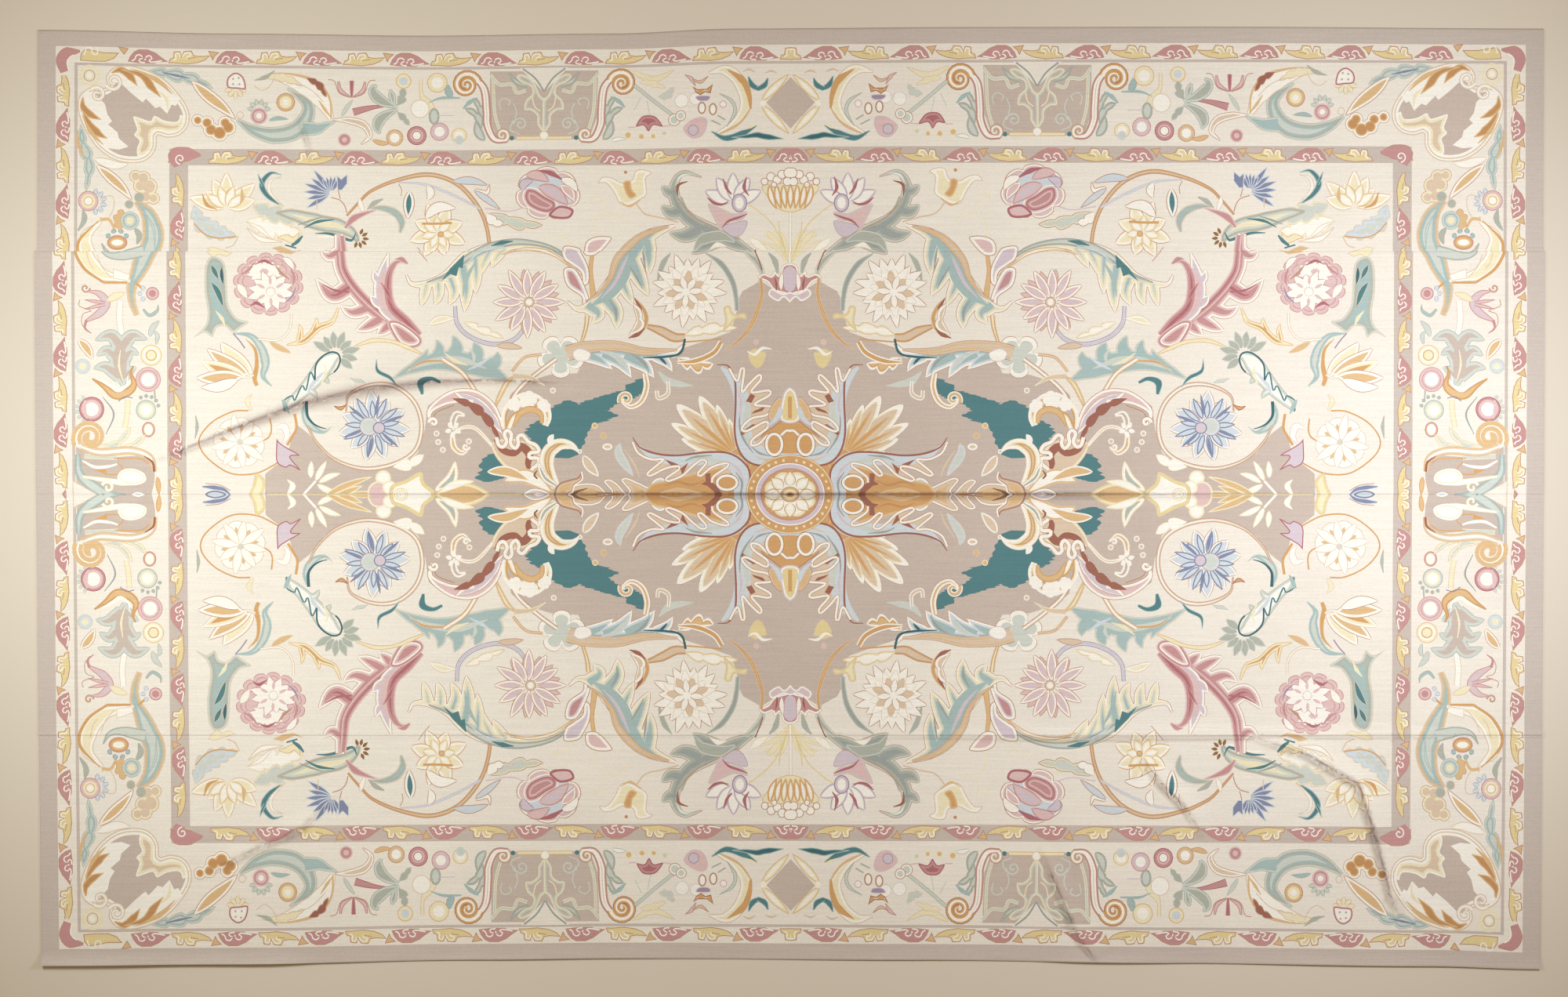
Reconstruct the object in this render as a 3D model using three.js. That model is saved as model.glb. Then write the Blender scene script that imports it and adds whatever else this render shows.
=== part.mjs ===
// Needlepoint rug, 16 ft by 10 ft, lying face up on a level floor. All sizes are in millimetres, +Z is up,
// X runs along the rug's length and Y across it. The origin is on the floor under the middle of the rug.
//
// The rug is made of four stitched panels that are sewn edge to edge along three long seams. Its outer edges
// waver a little, the seams stand up in low welts and a few soft creases cross the cloth.

import * as THREE from "three";

// Driving sizes
const CLOTH_THICKNESS = 4; // wool stitches on canvas
const SEAM_GAP = 0.3; // between two panels that are sewn together
const CENTRE_SEAM_Y = 12;
const UPPER_SEAM_Y = 800;
const LOWER_SEAM_Y = -770;
const RESTING_LIFT = 0.4; // cloth that would lift less than this lies flat on the floor

const WOOL_COLOUR = 0xe6dccd;
const WOOL_ROUGHNESS = 0.95;

// The two long outer edges: how far out the cloth reaches along its length
const UPPER_EDGE = [
  { x: -2440, y: 1516 },
  { x: -1800, y: 1504 },
  { x: -1185, y: 1497 },
  { x: -575, y: 1504 },
  { x: -170, y: 1520 },
  { x: 600, y: 1525 },
  { x: 1400, y: 1526 },
  { x: 2440, y: 1520 },
];
const LOWER_EDGE = [
  { x: -2430, y: -1514 },
  { x: -1800, y: -1509 },
  { x: -980, y: -1495 },
  { x: -575, y: -1491 },
  { x: 440, y: -1496 },
  { x: 1250, y: -1506 },
  { x: 2065, y: -1516 },
  { x: 2430, y: -1526 },
];

// The panels, from the far edge to the near one. left and right are the short ends' places at the panel's
// upper and lower side, and rows are the places across the panel where its surface is divided.
const PANELS = [
  {
    name: "upper_outer_panel",
    upper: UPPER_EDGE,
    lower: levelLine(UPPER_SEAM_Y),
    left: { upper: -2436, lower: -2438 },
    right: { upper: 2442, lower: 2441 },
    rows: [800, 818, 860, 960, 1080, 1160, 1240, 1340, 1440, 1526],
  },
  {
    name: "upper_inner_panel",
    upper: levelLine(UPPER_SEAM_Y),
    lower: levelLine(CENTRE_SEAM_Y),
    left: { upper: -2448, lower: -2443 },
    right: { upper: 2447, lower: 2444 },
    rows: [12, 26, 46, 76, 120, 160, 200, 240, 280, 320, 355, 390, 430, 480, 600, 740, 782, 800],
  },
  {
    name: "lower_inner_panel",
    upper: levelLine(CENTRE_SEAM_Y),
    lower: levelLine(LOWER_SEAM_Y),
    left: { upper: -2442, lower: -2434 },
    right: { upper: 2443, lower: 2437 },
    rows: [-770, -752, -710, -560, -400, -250, -120, -52, -22, -2, 12],
  },
  {
    name: "lower_outer_panel",
    upper: levelLine(LOWER_SEAM_Y),
    lower: LOWER_EDGE,
    left: { upper: -2433, lower: -2424 },
    right: { upper: 2438, lower: 2430 },
    rows: [-1526, -1500, -1460, -1400, -1330, -1260, -1190, -1120, -1050, -990, -930, -880, -830, -788, -770],
  },
];

// The columns where every panel is divided along its length, close together where creases run across the rug
const COLUMN_STRETCHES = [
  { from: -2440, to: -1620, columns: 9 },
  { from: -1620, to: 700, columns: 21 },
  { from: 700, to: 1130, columns: 7 },
  { from: 1130, to: 1360, columns: 5 },
  { from: 1360, to: 1810, columns: 7 },
  { from: 1810, to: 1990, columns: 6 },
  { from: 1990, to: 2440, columns: 4 },
];

// Welts and creases. Each is a line of stations: where it runs, how high the cloth stands there and how far
// the rise spreads to either side.
const CREASES = {
  centre_welt: [
    { x: -2440, y: 12, rise: 0, spread: 20 },
    { x: -1500, y: 12, rise: 4, spread: 22 },
    { x: -860, y: 12, rise: 8, spread: 24 },
    { x: -600, y: 12, rise: 15, spread: 28 },
    { x: 0, y: 12, rise: 17, spread: 30 },
    { x: 640, y: 12, rise: 15, spread: 28 },
    { x: 900, y: 12, rise: 8, spread: 24 },
    { x: 1500, y: 12, rise: 4, spread: 22 },
    { x: 2440, y: 12, rise: 0, spread: 20 },
  ],
  upper_welt: [
    { x: -2440, y: 800, rise: 2, spread: 12 },
    { x: 2440, y: 800, rise: 2, spread: 12 },
  ],
  lower_welt: [
    { x: -2440, y: -770, rise: 2, spread: 14 },
    { x: 150, y: -770, rise: 3, spread: 16 },
    { x: 900, y: -776, rise: 7, spread: 26 },
    { x: 1500, y: -772, rise: 7, spread: 24 },
    { x: 2440, y: -770, rise: 3, spread: 16 },
  ],
  long_crease: [
    { x: -2040, y: 130, rise: 0, spread: 20 },
    { x: -1794, y: 226, rise: 9, spread: 30 },
    { x: -1583, y: 305, rise: 17, spread: 40 },
    { x: -1388, y: 350, rise: 17, spread: 42 },
    { x: -1165, y: 376, rise: 14, spread: 38 },
    { x: -931, y: 381, rise: 11, spread: 28 },
    { x: -760, y: 378, rise: 0, spread: 18 },
  ],
  corner_crease: [
    { x: 1460, y: -765, rise: 0, spread: 24 },
    { x: 1670, y: -831, rise: 9, spread: 34 },
    { x: 1838, y: -927, rise: 11, spread: 36 },
    { x: 1896, y: -1107, rise: 15, spread: 30 },
    { x: 1942, y: -1290, rise: 12, spread: 30 },
    { x: 1975, y: -1360, rise: 0, spread: 26 },
  ],
  near_crease: [
    { x: 1120, y: -820, rise: 0, spread: 26 },
    { x: 1203, y: -927, rise: 9, spread: 34 },
    { x: 1281, y: -1006, rise: 8, spread: 34 },
    { x: 1350, y: -1120, rise: 0, spread: 26 },
  ],
  hem_crease: [
    { x: 800, y: -1110, rise: 0, spread: 24 },
    { x: 860, y: -1252, rise: 6, spread: 32 },
    { x: 923, y: -1405, rise: 8, spread: 34 },
    { x: 987, y: -1500, rise: 5, spread: 34 },
  ],
  far_corner_crease: [
    { x: -1440, y: -930, rise: 0, spread: 26 },
    { x: -1583, y: -1072, rise: 7, spread: 34 },
    { x: -1795, y: -1168, rise: 6, spread: 34 },
    { x: -1930, y: -1240, rise: 0, spread: 26 },
  ],
  border_crease: [
    { x: -1600, y: 1250, rise: 0, spread: 24 },
    { x: -1570, y: 1160, rise: 6, spread: 30 },
    { x: -1545, y: 1060, rise: 0, spread: 24 },
  ],
};

// How far the near hem curls up off the floor along its length
const HEM_CURL_REACH = 55;
const HEM_CURL = [
  { x: -2430, rise: 4 },
  { x: -1980, rise: 1 },
  { x: -1700, rise: 7 },
  { x: -1250, rise: 2 },
  { x: -820, rise: 5 },
  { x: -200, rise: 1 },
  { x: 300, rise: 4 },
  { x: 760, rise: 2 },
  { x: 980, rise: 9 },
  { x: 1350, rise: 3 },
  { x: 1750, rise: 6 },
  { x: 2430, rise: 5 },
];

function levelLine(y) {
  return [{ x: -2440, y }, { x: 2440, y }];
}

// A value of a table at x, eased between its rows so that the line has no corners
function alongTable(table, x, key) {
  const last = table.length - 1;
  if (x <= table[0].x) return table[0][key];
  if (x >= table[last].x) return table[last][key];
  const next = table.findIndex((row) => row.x > x);
  const before = table[next - 1];
  const after = table[next];
  const share = THREE.MathUtils.smoothstep(x, before.x, after.x);
  return THREE.MathUtils.lerp(before[key], after[key], share);
}

// How high one crease holds the cloth at a point: a soft rise that falls off to both sides of its line
function creaseLift(stations, x, y) {
  let lift = 0;
  for (let i = 1; i < stations.length; i += 1) {
    const start = stations[i - 1];
    const end = stations[i];
    const runX = end.x - start.x;
    const runY = end.y - start.y;
    const along = ((x - start.x) * runX + (y - start.y) * runY) / (runX * runX + runY * runY);
    const share = THREE.MathUtils.clamp(along, 0, 1);
    const away = Math.hypot(x - start.x - share * runX, y - start.y - share * runY);
    const spread = THREE.MathUtils.lerp(start.spread, end.spread, share);
    const rise = THREE.MathUtils.lerp(start.rise, end.rise, share);
    lift = Math.max(lift, rise * Math.exp(-((away / spread) ** 2)));
  }
  return lift;
}

function hemLift(x, y) {
  const inward = (y - alongTable(LOWER_EDGE, x, "y")) / HEM_CURL_REACH;
  const share = THREE.MathUtils.clamp(1 - inward, 0, 1);
  return alongTable(HEM_CURL, x, "rise") * share * share;
}

// The height of the cloth's underside above the floor
function clothLift(x, y) {
  const creases = Object.values(CREASES).map((stations) => creaseLift(stations, x, y));
  const lift = Math.max(hemLift(x, y), ...creases);
  return Math.max(0, lift - RESTING_LIFT);
}

function columnPlaces() {
  const places = [COLUMN_STRETCHES[0].from];
  for (const { from, to, columns } of COLUMN_STRETCHES) {
    for (let i = 1; i <= columns; i += 1) places.push(from + ((to - from) * i) / columns);
  }
  return places;
}

// Where a panel's grid point lies on the floor plan. A panel stops half a gap short of each of its seams.
function planPoint(panel, columnX, rowY) {
  const columns = COLUMN_STRETCHES;
  const share = (columnX - columns[0].from) / (columns.at(-1).to - columns[0].from);
  const firstRow = panel.rows[0];
  const height = (rowY - firstRow) / (panel.rows.at(-1) - firstRow);
  const left = THREE.MathUtils.lerp(panel.left.lower, panel.left.upper, height);
  const right = THREE.MathUtils.lerp(panel.right.lower, panel.right.upper, height);
  const x = THREE.MathUtils.lerp(left, right, share);
  const lowerGap = panel.lower === LOWER_EDGE ? 0 : SEAM_GAP / 2;
  const upperGap = panel.upper === UPPER_EDGE ? 0 : SEAM_GAP / 2;
  const lower = alongTable(panel.lower, x, "y") + lowerGap;
  const upper = alongTable(panel.upper, x, "y") - upperGap;
  return { x, y: THREE.MathUtils.lerp(lower, upper, height) };
}

// A closed slab over the panel's grid: its face, its underside and a wall round its edge
function panelGeometry(panel) {
  const columns = columnPlaces();
  const across = columns.length;
  const down = panel.rows.length;
  const face = [];
  const underside = [];
  for (const rowY of panel.rows) {
    for (const columnX of columns) {
      const { x, y } = planPoint(panel, columnX, rowY);
      const lift = clothLift(x, y);
      face.push(x, y, lift + CLOTH_THICKNESS);
      underside.push(x, y, lift);
    }
  }

  const below = across * down;
  const triangles = [];
  for (let row = 0; row < down - 1; row += 1) {
    for (let column = 0; column < across - 1; column += 1) {
      const a = row * across + column;
      const b = a + 1;
      const c = a + across + 1;
      const d = a + across;
      triangles.push(a, b, c, a, c, d);
      triangles.push(below + a, below + c, below + b, below + a, below + d, below + c);
    }
  }

  const rim = [];
  for (let column = 0; column < across - 1; column += 1) rim.push(column);
  for (let row = 0; row < down - 1; row += 1) rim.push(row * across + across - 1);
  for (let column = across - 1; column > 0; column -= 1) rim.push((down - 1) * across + column);
  for (let row = down - 1; row > 0; row -= 1) rim.push(row * across);
  rim.forEach((here, i) => {
    const next = rim[(i + 1) % rim.length];
    triangles.push(below + here, below + next, next, below + here, next, here);
  });

  const geometry = new THREE.BufferGeometry();
  geometry.setAttribute("position", new THREE.Float32BufferAttribute([...face, ...underside], 3));
  geometry.setIndex(triangles);
  geometry.computeVertexNormals();
  return geometry;
}

function panelMesh(panel) {
  const wool = new THREE.MeshStandardMaterial({
    color: WOOL_COLOUR,
    roughness: WOOL_ROUGHNESS,
    metalness: 0,
  });
  const mesh = new THREE.Mesh(panelGeometry(panel), wool);
  mesh.name = panel.name;
  return mesh;
}

// The panels are shifted together so that the origin is under the middle of the rug's outline
function rug() {
  const group = new THREE.Group();
  for (const panel of PANELS) group.add(panelMesh(panel));
  const middle = new THREE.Box3().setFromObject(group).getCenter(new THREE.Vector3());
  group.position.set(-middle.x, -middle.y, 0);
  group.updateMatrixWorld(true);
  return group;
}

export default rug();
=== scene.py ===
"""Needlepoint rug: four stitched panels sewn edge to edge, lying on a pale floor.

The stitched pattern is charted in one quarter of the rug, the upper left one, and turned over for the other
three. Chart places are counted in stitches of 2.54 mm from the canvas's upper left corner, across and down.
"""

import math
from collections import namedtuple

import bpy
import numpy as np
from bpy.props import FloatProperty, FloatVectorProperty, PointerProperty
from bpy.types import Operator, Panel, PropertyGroup
from mathutils.geometry import delaunay_2d_cdt
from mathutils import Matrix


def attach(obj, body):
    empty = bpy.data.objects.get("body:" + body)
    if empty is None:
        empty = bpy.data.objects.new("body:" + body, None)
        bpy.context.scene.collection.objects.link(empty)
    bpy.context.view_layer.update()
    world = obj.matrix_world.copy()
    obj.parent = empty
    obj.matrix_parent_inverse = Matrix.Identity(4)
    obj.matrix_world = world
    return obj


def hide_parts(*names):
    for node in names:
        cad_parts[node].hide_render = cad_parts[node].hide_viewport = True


bl_info = {
    "name": "Needlepoint rug",
    "version": (1, 0, 0),
    "blender": (4, 5, 0),
    "location": "3D View > Sidebar > Rug",
    "description": "Dresses the four sewn panels of a needlepoint rug and lays it on a studio floor",
    "category": "Object",
}

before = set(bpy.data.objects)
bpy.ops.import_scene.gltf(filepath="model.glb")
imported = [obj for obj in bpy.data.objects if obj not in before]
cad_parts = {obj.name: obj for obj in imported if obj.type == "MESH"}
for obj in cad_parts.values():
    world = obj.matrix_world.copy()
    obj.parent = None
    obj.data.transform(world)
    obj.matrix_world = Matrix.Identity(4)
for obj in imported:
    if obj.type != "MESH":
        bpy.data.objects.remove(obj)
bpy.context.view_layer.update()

MM = 0.001
CENTRING = 0.5  # mm along the rug, from the panels' own measures to the middle of its outline

# The rug's outline and lie, in millimetres: X along the rug, Y across it
UPPER_EDGE = (
    (-2440, 1516), (-1800, 1504), (-1185, 1497), (-575, 1504), (-170, 1520), (600, 1525), (1400, 1526),
    (2440, 1520),
)
LOWER_EDGE = (
    (-2430, -1514), (-1800, -1509), (-980, -1495), (-575, -1491), (440, -1496), (1250, -1506),
    (2065, -1516), (2430, -1526),
)
CENTRE_SEAM = ((-2440, 12), (2440, 12))
UPPER_SEAM = ((-2440, 800), (2440, 800))
LOWER_SEAM = ((-2440, -770), (2440, -770))
SEAM_GAP = 0.3  # mm between two panels
LENGTH, WIDTH = 4880, 760  # of one panel in mm, where a share across or up it stands for a distance
EDGE_REACH = 5  # mm from a panel's edge in which its face turns down

# Left and right: where the two ends lie at the upper side and at the lower side. Flat: its size in metres
SewnPanel = namedtuple("SewnPanel", "name upper lower left right flat")
PANELS = (
    SewnPanel("upper_outer_panel", UPPER_EDGE, UPPER_SEAM, (-2436, -2438), (2442, 2441), (4.88, 0.72)),
    SewnPanel("upper_inner_panel", UPPER_SEAM, CENTRE_SEAM, (-2448, -2443), (2447, 2444), (4.89, 0.79)),
    SewnPanel("lower_inner_panel", CENTRE_SEAM, LOWER_SEAM, (-2442, -2434), (2443, 2437), (4.88, 0.78)),
    SewnPanel("lower_outer_panel", LOWER_SEAM, LOWER_EDGE, (-2433, -2424), (2438, 2430), (4.87, 0.74)),
)

# Welts and creases: stations of x, y, how high the cloth stands there and how far the rise spreads
CREASES = (
    (
        (-2440, 12, 0, 20), (-1500, 12, 5, 24), (-860, 12, 12, 30), (-640, 12, 22, 42), (0, 12, 22, 38),
        (860, 12, 21, 40), (1200, 12, 12, 30), (1700, 12, 5, 24), (2440, 12, 0, 20),
    ),
    ((-2440, 800, 2, 12), (2440, 800, 2, 12)),
    (
        (-2440, -770, 2, 14), (150, -770, 3, 16), (900, -776, 10, 30), (1500, -772, 10, 28),
        (2440, -770, 3, 16),
    ),
    (
        (-2070, 116, 0, 26), (-1960, 158, 16, 34), (-1794, 226, 20, 50), (-1583, 305, 26, 62),
        (-1388, 350, 26, 64), (-1165, 376, 23, 54), (-1000, 381, 22, 38), (-840, 378, 18, 32),
        (-720, 372, 0, 22),
    ),
    (
        (1460, -765, 0, 30), (1670, -831, 14, 44), (1838, -927, 17, 46), (1896, -1107, 22, 42),
        (1942, -1290, 17, 40), (1975, -1360, 0, 30),
    ),
    ((1120, -820, 0, 30), (1203, -927, 14, 42), (1281, -1006, 12, 40), (1350, -1120, 0, 30)),
    ((800, -1110, 0, 28), (860, -1252, 10, 40), (923, -1405, 12, 42), (987, -1500, 7, 40)),
    ((-1930, -1240, 0, 30), (-1795, -1168, 7, 42), (-1583, -1072, 8, 42), (-1440, -930, 0, 30)),
    ((-1545, 1060, 0, 28), (-1570, 1160, 9, 36), (-1600, 1250, 0, 28)),
)
STEEP_SIDE = 0.32  # a crease leans over: how far it spreads on its steep side, as a share of the other
GROOVE_DEPTH, GROOVE_REACH = 0.35, 4.5  # the pinched fold in a crest: share of its rise, and spread in mm
HEM_CURL_REACH = 55  # mm from the near hem in which it curls up
HEM_CURL = (
    (-2430, 15), (-2200, 16), (-1980, 12), (-1700, 14), (-1500, 6), (-1250, 3), (-820, 5), (-200, 1),
    (300, 4), (760, 2), (980, 9), (1350, 3), (1750, 6), (2430, 5),
)
FULL_SHADE_RISE = 20  # mm, the rise from which a fold's painted shade grows no darker
PAINTED_CREASE_SHADE = 0.56  # how much darker the wool is painted in such a fold: painted shade of the crease
CREASE_SHADE_TINT = np.array([0.86, 1, 1])  # and how much of that the red, green and blue light lose
RESTING_LIFT = 0.4  # mm that come off every rise, so that cloth beside a crease lies flat

# The charted quarter, in stitches: its left end, its middle, its outer edge, the seam and the middle row
LEFT, MIDDLE, EDGE, SEAM, MIDDLE_ROW = 46, 1005, 41, 322, 633
LATTICE = 9.0  # stitches between the points that carry the lie of the cloth
NEARNESS = 0.01  # outlines that pass this near to each other, in stitches, are joined
BESIDE_SEAM = np.array([0.7, 2, 3.6, 6, 9.5, 15])  # stitches from a seam to the close rows beside it
BESIDE_CREST = np.array([-26, -18, -13, -9, -5.5, -2.5, 0, 3, 8, 16, 28, 44])  # mm, the same for a crease
CREASE_STEP = 22  # mm between two points of such a row
UNDERSIDE_GRID = 90, 18  # points along and across the underside, both ends counted


def linear(red, green, blue):
    """A yarn's dye as light: each share of 255 carried from the colour card's curve to a straight one"""
    share = np.array([red, green, blue]) / 255
    return tuple(np.where(share > 0.04045, ((share + 0.055) / 1.055) ** 2.4, share / 12.92).tolist())


def dye(name, description, red, green, blue):
    """A property for the colour of a dye, given as it looks on a colour card from 0 to 255"""
    return FloatVectorProperty(
        name=name, description=description, subtype="COLOR", size=3, min=0, max=1,
        default=linear(red, green, blue),
    )


class RugYarns(PropertyGroup):
    """The dyed wools of the chart"""

    band: dye("Band", "Taupe of the plain strips round the borders", 200, 186, 173)
    cream: dye("Cream", "Ground of the field and the border", 236, 227, 211)
    ivory: dye("Ivory", "Lightest petals and outlines", 246, 240, 226)
    taupe: dye("Taupe", "Ground of the medallion", 199, 182, 167)
    tan: dye("Tan", "Soft shading of leaves and scrolls", 219, 196, 168)
    pink: dye("Pink", "Light petals", 222, 190, 184)
    rose: dye("Rose", "Guard leaves and petals", 197, 146, 142)
    deep_rose: dye("Deep rose", "Spines of the rose acanthus", 176, 110, 114)
    straw: dye("Straw", "Pale yellow leaves", 238, 226, 188)
    yellow: dye("Yellow", "Guard leaves", 228, 208, 152)
    gold: dye("Gold", "Gold leaves", 220, 184, 134)
    orange: dye("Orange", "Stems and the middle of the medallion", 210, 162, 106)
    ochre: dye("Ochre", "Depths of gold leaves", 196, 146, 94)
    brown: dye("Brown", "Fine outlines", 190, 148, 122)
    rust: dye("Rust", "Dark edges of scrolls", 160, 104, 86)
    umber: dye("Umber", "Darkest brown accents", 142, 106, 80)
    teal: dye("Teal", "Patches on the medallion", 86, 128, 130)
    deep_teal: dye("Deep teal", "Accents on grey leaves", 66, 104, 108)
    sea: dye("Sea", "Blue green leaves", 168, 188, 182)
    mist: dye("Mist", "Palest green leaves", 206, 209, 196)
    sage: dye("Sage", "Grey green leaves", 178, 180, 164)
    slate: dye("Slate", "Grey leaves", 160, 165, 158)
    blue: dye("Blue", "Cornflowers", 132, 138, 162)
    ice: dye("Ice", "Palest blue petals", 208, 214, 216)
    lilac: dye("Lilac", "Pale violet petals", 212, 196, 200)
    violet: dye("Violet", "Violet outlines", 164, 146, 164)


class RugCloth(PropertyGroup):
    """How the cloth is made and lies"""

    thickness: FloatProperty(
        name="Thickness", description="Wool stitches on canvas", default=0.004, min=0.002, max=0.008,
        unit="LENGTH",
    )
    stitch: FloatProperty(
        name="Stitch", description="Pitch of the tent stitches", default=0.00254, min=0.001, max=0.01,
        unit="LENGTH",
    )
    rounding: FloatProperty(
        name="Edge rounding", description="How far a panel's edge turns down at a seam or hem",
        default=0.0016, min=0.0, max=0.003, unit="LENGTH",
    )
    back: dye("Canvas", "Underside of the cloth", 214, 203, 182)


class RugStage(PropertyGroup):
    """The floor and the studio light"""

    floor_colour: dye("Floor", "Plain pale floor", 218, 206, 186)
    side_power: FloatProperty(
        name="Side lights", description="Power of each of the two soft side lights", default=102, min=0,
        unit="POWER",
    )
    left_tint: FloatVectorProperty(
        name="Left tint", description="Colour of the left light", subtype="COLOR", size=3, min=0, max=1,
        default=(0.79, 0.855, 0.92),
    )
    right_tint: FloatVectorProperty(
        name="Right tint", description="Colour of the right light", subtype="COLOR", size=3, min=0, max=1,
        default=(0.81, 0.88, 1.0),
    )
    sky_strength: FloatProperty(
        name="Sky", description="Strength of the even light from above", default=0.3, min=0
    )
    camera_height: FloatProperty(
        name="Camera height", description="Height of the camera above the floor", default=12.0, min=1,
        unit="LENGTH",
    )
    view_width: FloatProperty(
        name="View width", description="Length of floor that fills the picture", default=5.08, min=1,
        unit="LENGTH",
    )


def lerp(a, b, share):
    """The value at a share of the way from a to b"""
    return a + (b - a) * share


def eased(table, x, column=1):
    """A table's column at x, eased from row to row: share 3t squared less 2t cubed between two rows"""
    rows = np.asarray(table, float)
    after = np.clip(np.searchsorted(rows[:, 0], x), 1, len(rows) - 1)
    before = after - 1
    t = np.clip((x - rows[before, 0]) / (rows[after, 0] - rows[before, 0]), 0, 1)
    return lerp(rows[before, column], rows[after, column], t * t * (3 - 2 * t))


def beside_creases(x, y):
    """For each stretch of each crease: distance from it, share of its spread on that side, rise and spread.

    The nearest point of a stretch is at the share (step from its start times its run, over the run squared).
    """
    for stations in CREASES:
        for (x0, y0, rise0, spread0), (x1, y1, rise1, spread1) in zip(stations, stations[1:]):
            run = np.array([x1 - x0, y1 - y0], float)
            share = np.clip(((x - x0) * run[0] + (y - y0) * run[1]) / (run @ run), 0, 1)
            away = np.hypot(x - x0 - share * run[0], y - y0 - share * run[1])
            steep = np.where(run[0] * (y - y0) < run[1] * (x - x0), STEEP_SIDE, 1)
            yield away, steep, lerp(rise0, rise1, share), lerp(spread0, spread1, share)


def cloth_lift(x, y):
    """Height of the underside above the floor, in mm.

    Near a crease the height is its rise times e to the minus square of (distance over spread), with rise and
    spread shared out along each stretch between two stations, and a smaller spread on the steep side. The
    crest is pinched: its depth times e to the minus square of (distance over the groove's spread) comes off.
    The near hem curls up as the square of how far a point is into its last 55 mm. The highest of them all
    wins, less the lift that comes off every rise.
    """
    lift = np.zeros_like(x)
    for away, steep, rise, spread in beside_creases(x, y):
        bump = np.exp(-((away / spread / steep) ** 2))
        pinch = GROOVE_DEPTH * np.exp(-((away / GROOVE_REACH) ** 2))
        lift = np.maximum(lift, rise * (bump - pinch))
    inward = np.clip(1 - (y - eased(LOWER_EDGE, x)) / HEM_CURL_REACH, 0, 1)
    lift = np.maximum(lift, eased(HEM_CURL, x) * inward**2)
    return np.maximum(lift - RESTING_LIFT, 0)


def painted_crease_shade(x, y):
    """Share by which the wool's colour is painted darker along the folds: painted shade of the creases.

    Along a crest it is the full depth of that shade, less where the crease stands under 20 mm high, and
    falls off as e to the minus square of (distance over reach). The reach is the square of the crease's
    spread, over 240 mm.
    """
    painted_shade = np.zeros_like(x)
    for away, _, rise, spread in beside_creases(x, y):
        reach = spread**2 / 240
        deepest = PAINTED_CREASE_SHADE * np.clip(rise / FULL_SHADE_RISE, 0, 1)
        painted_shade = np.maximum(painted_shade, deepest * np.exp(-((away / reach) ** 2)))
    return painted_shade


def plan(panel, across, up):
    """Where a share across (0 left, 1 right) and up (0 lower, 1 upper side) of a panel lies, in mm.

    x is shared out between the two short ends, and y between the lower and the upper side at that x.
    """
    x = lerp(lerp(panel.left[1], panel.left[0], up), lerp(panel.right[1], panel.right[0], up), across)
    low = eased(panel.lower, x) + (0 if panel.lower is LOWER_EDGE else SEAM_GAP / 2)
    high = eased(panel.upper, x) - (0 if panel.upper is UPPER_EDGE else SEAM_GAP / 2)
    return x, lerp(low, high, up)


YARN_NAMES = list(RugYarns.__annotations__)
YARN_NUMBERS = {name: number for number, name in enumerate(YARN_NAMES)}


def pairs(places):
    """Places across and down the chart, from text such as "12,4 15,9" or from a run of numbers"""
    if isinstance(places[0], str):
        places = places[0].replace(",", " ").split()
    return np.asarray(places, float).reshape(-1, 2)


def bands(yarns):
    """Yarns and how deep each begins: "brown 1 ivory 2 teal" is 1 stitch of brown, 2 of ivory, then teal"""
    words = yarns.split()
    depths = np.concatenate([[0.0], np.cumsum([float(word) for word in words[1::2]])])
    return list(zip(depths, words[0::2]))


def smooth(points, closed=False, spacing=3.0):
    """A curve through the points, with a corner about every spacing stitches.

    Between two points it is the cubic whose slope at each is half the step between that point's neighbours.
    """
    if closed:
        ring = np.vstack([points[-1:], points, points[:2]])
    else:
        ring = np.vstack([2 * points[0] - points[1], points, 2 * points[-1] - points[-2]])
    chords = np.hypot(*np.diff(ring[1:-1], axis=0).T) + 1e-6
    reach = np.concatenate([[0.0], np.cumsum(chords)])
    count = max(int(np.ceil(reach[-1] / spacing)), 4)
    place = np.interp(np.linspace(0, reach[-1], count + 1), reach, np.arange(len(reach)))
    if closed:
        place = place[:-1]
    first = np.minimum(place.astype(int), len(reach) - 2)
    t = (place - first)[:, None]
    a, b, c, d = ring[first], ring[first + 1], ring[first + 2], ring[first + 3]
    return 0.5 * (2 * b + (c - a) * t + (2 * a - 5 * b + 4 * c - d) * t**2 + (3 * b - a - 3 * c + d) * t**3)


def sideways(path):
    """Unit steps along a path, and the same turned a quarter round"""
    run = np.gradient(path, axis=0)
    run /= np.hypot(run[:, 0], run[:, 1])[:, None] + 1e-9
    return run, np.stack([-run[:, 1], run[:, 0]], axis=1)


def anticlockwise(outline):
    """The outline with the sign of its area made positive"""
    x, y = outline.T
    area = np.sum(x * np.roll(y, -1) - y * np.roll(x, -1))
    return outline if area > 0 else outline[::-1]


def divided(outline, longest):
    """The same outline, with corners no further apart than the longest stretch"""
    step = np.roll(outline, -1, axis=0) - outline
    count = np.maximum(np.ceil(np.hypot(*step.T) / longest).astype(int), 1)
    start = np.repeat(np.arange(len(outline)), count)
    number = np.arange(count.sum()) - np.repeat(np.cumsum(count) - count, count)
    share = number / np.repeat(count, count)
    return outline[start] + step[start] * share[:, None]


def inset(outline, depth):
    """The outline with its sides moved in by depth: each corner moves along the sum of its sides' normals"""
    if depth == 0:
        return outline
    outline = anticlockwise(outline)
    run = np.roll(outline, -1, axis=0) - outline
    run /= np.hypot(run[:, 0], run[:, 1])[:, None] + 1e-9
    normal = np.stack([-run[:, 1], run[:, 0]], axis=1)
    both = normal + np.roll(normal, 1, axis=0)
    size = np.maximum(np.sum(both**2, axis=1), 0.6)[:, None]
    return outline + both * (2 * depth / size)


# The makers of motifs below return lists of outlines, each with its yarn, from the lowest up.
# Widths, depths and radii are in stitches.


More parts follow.
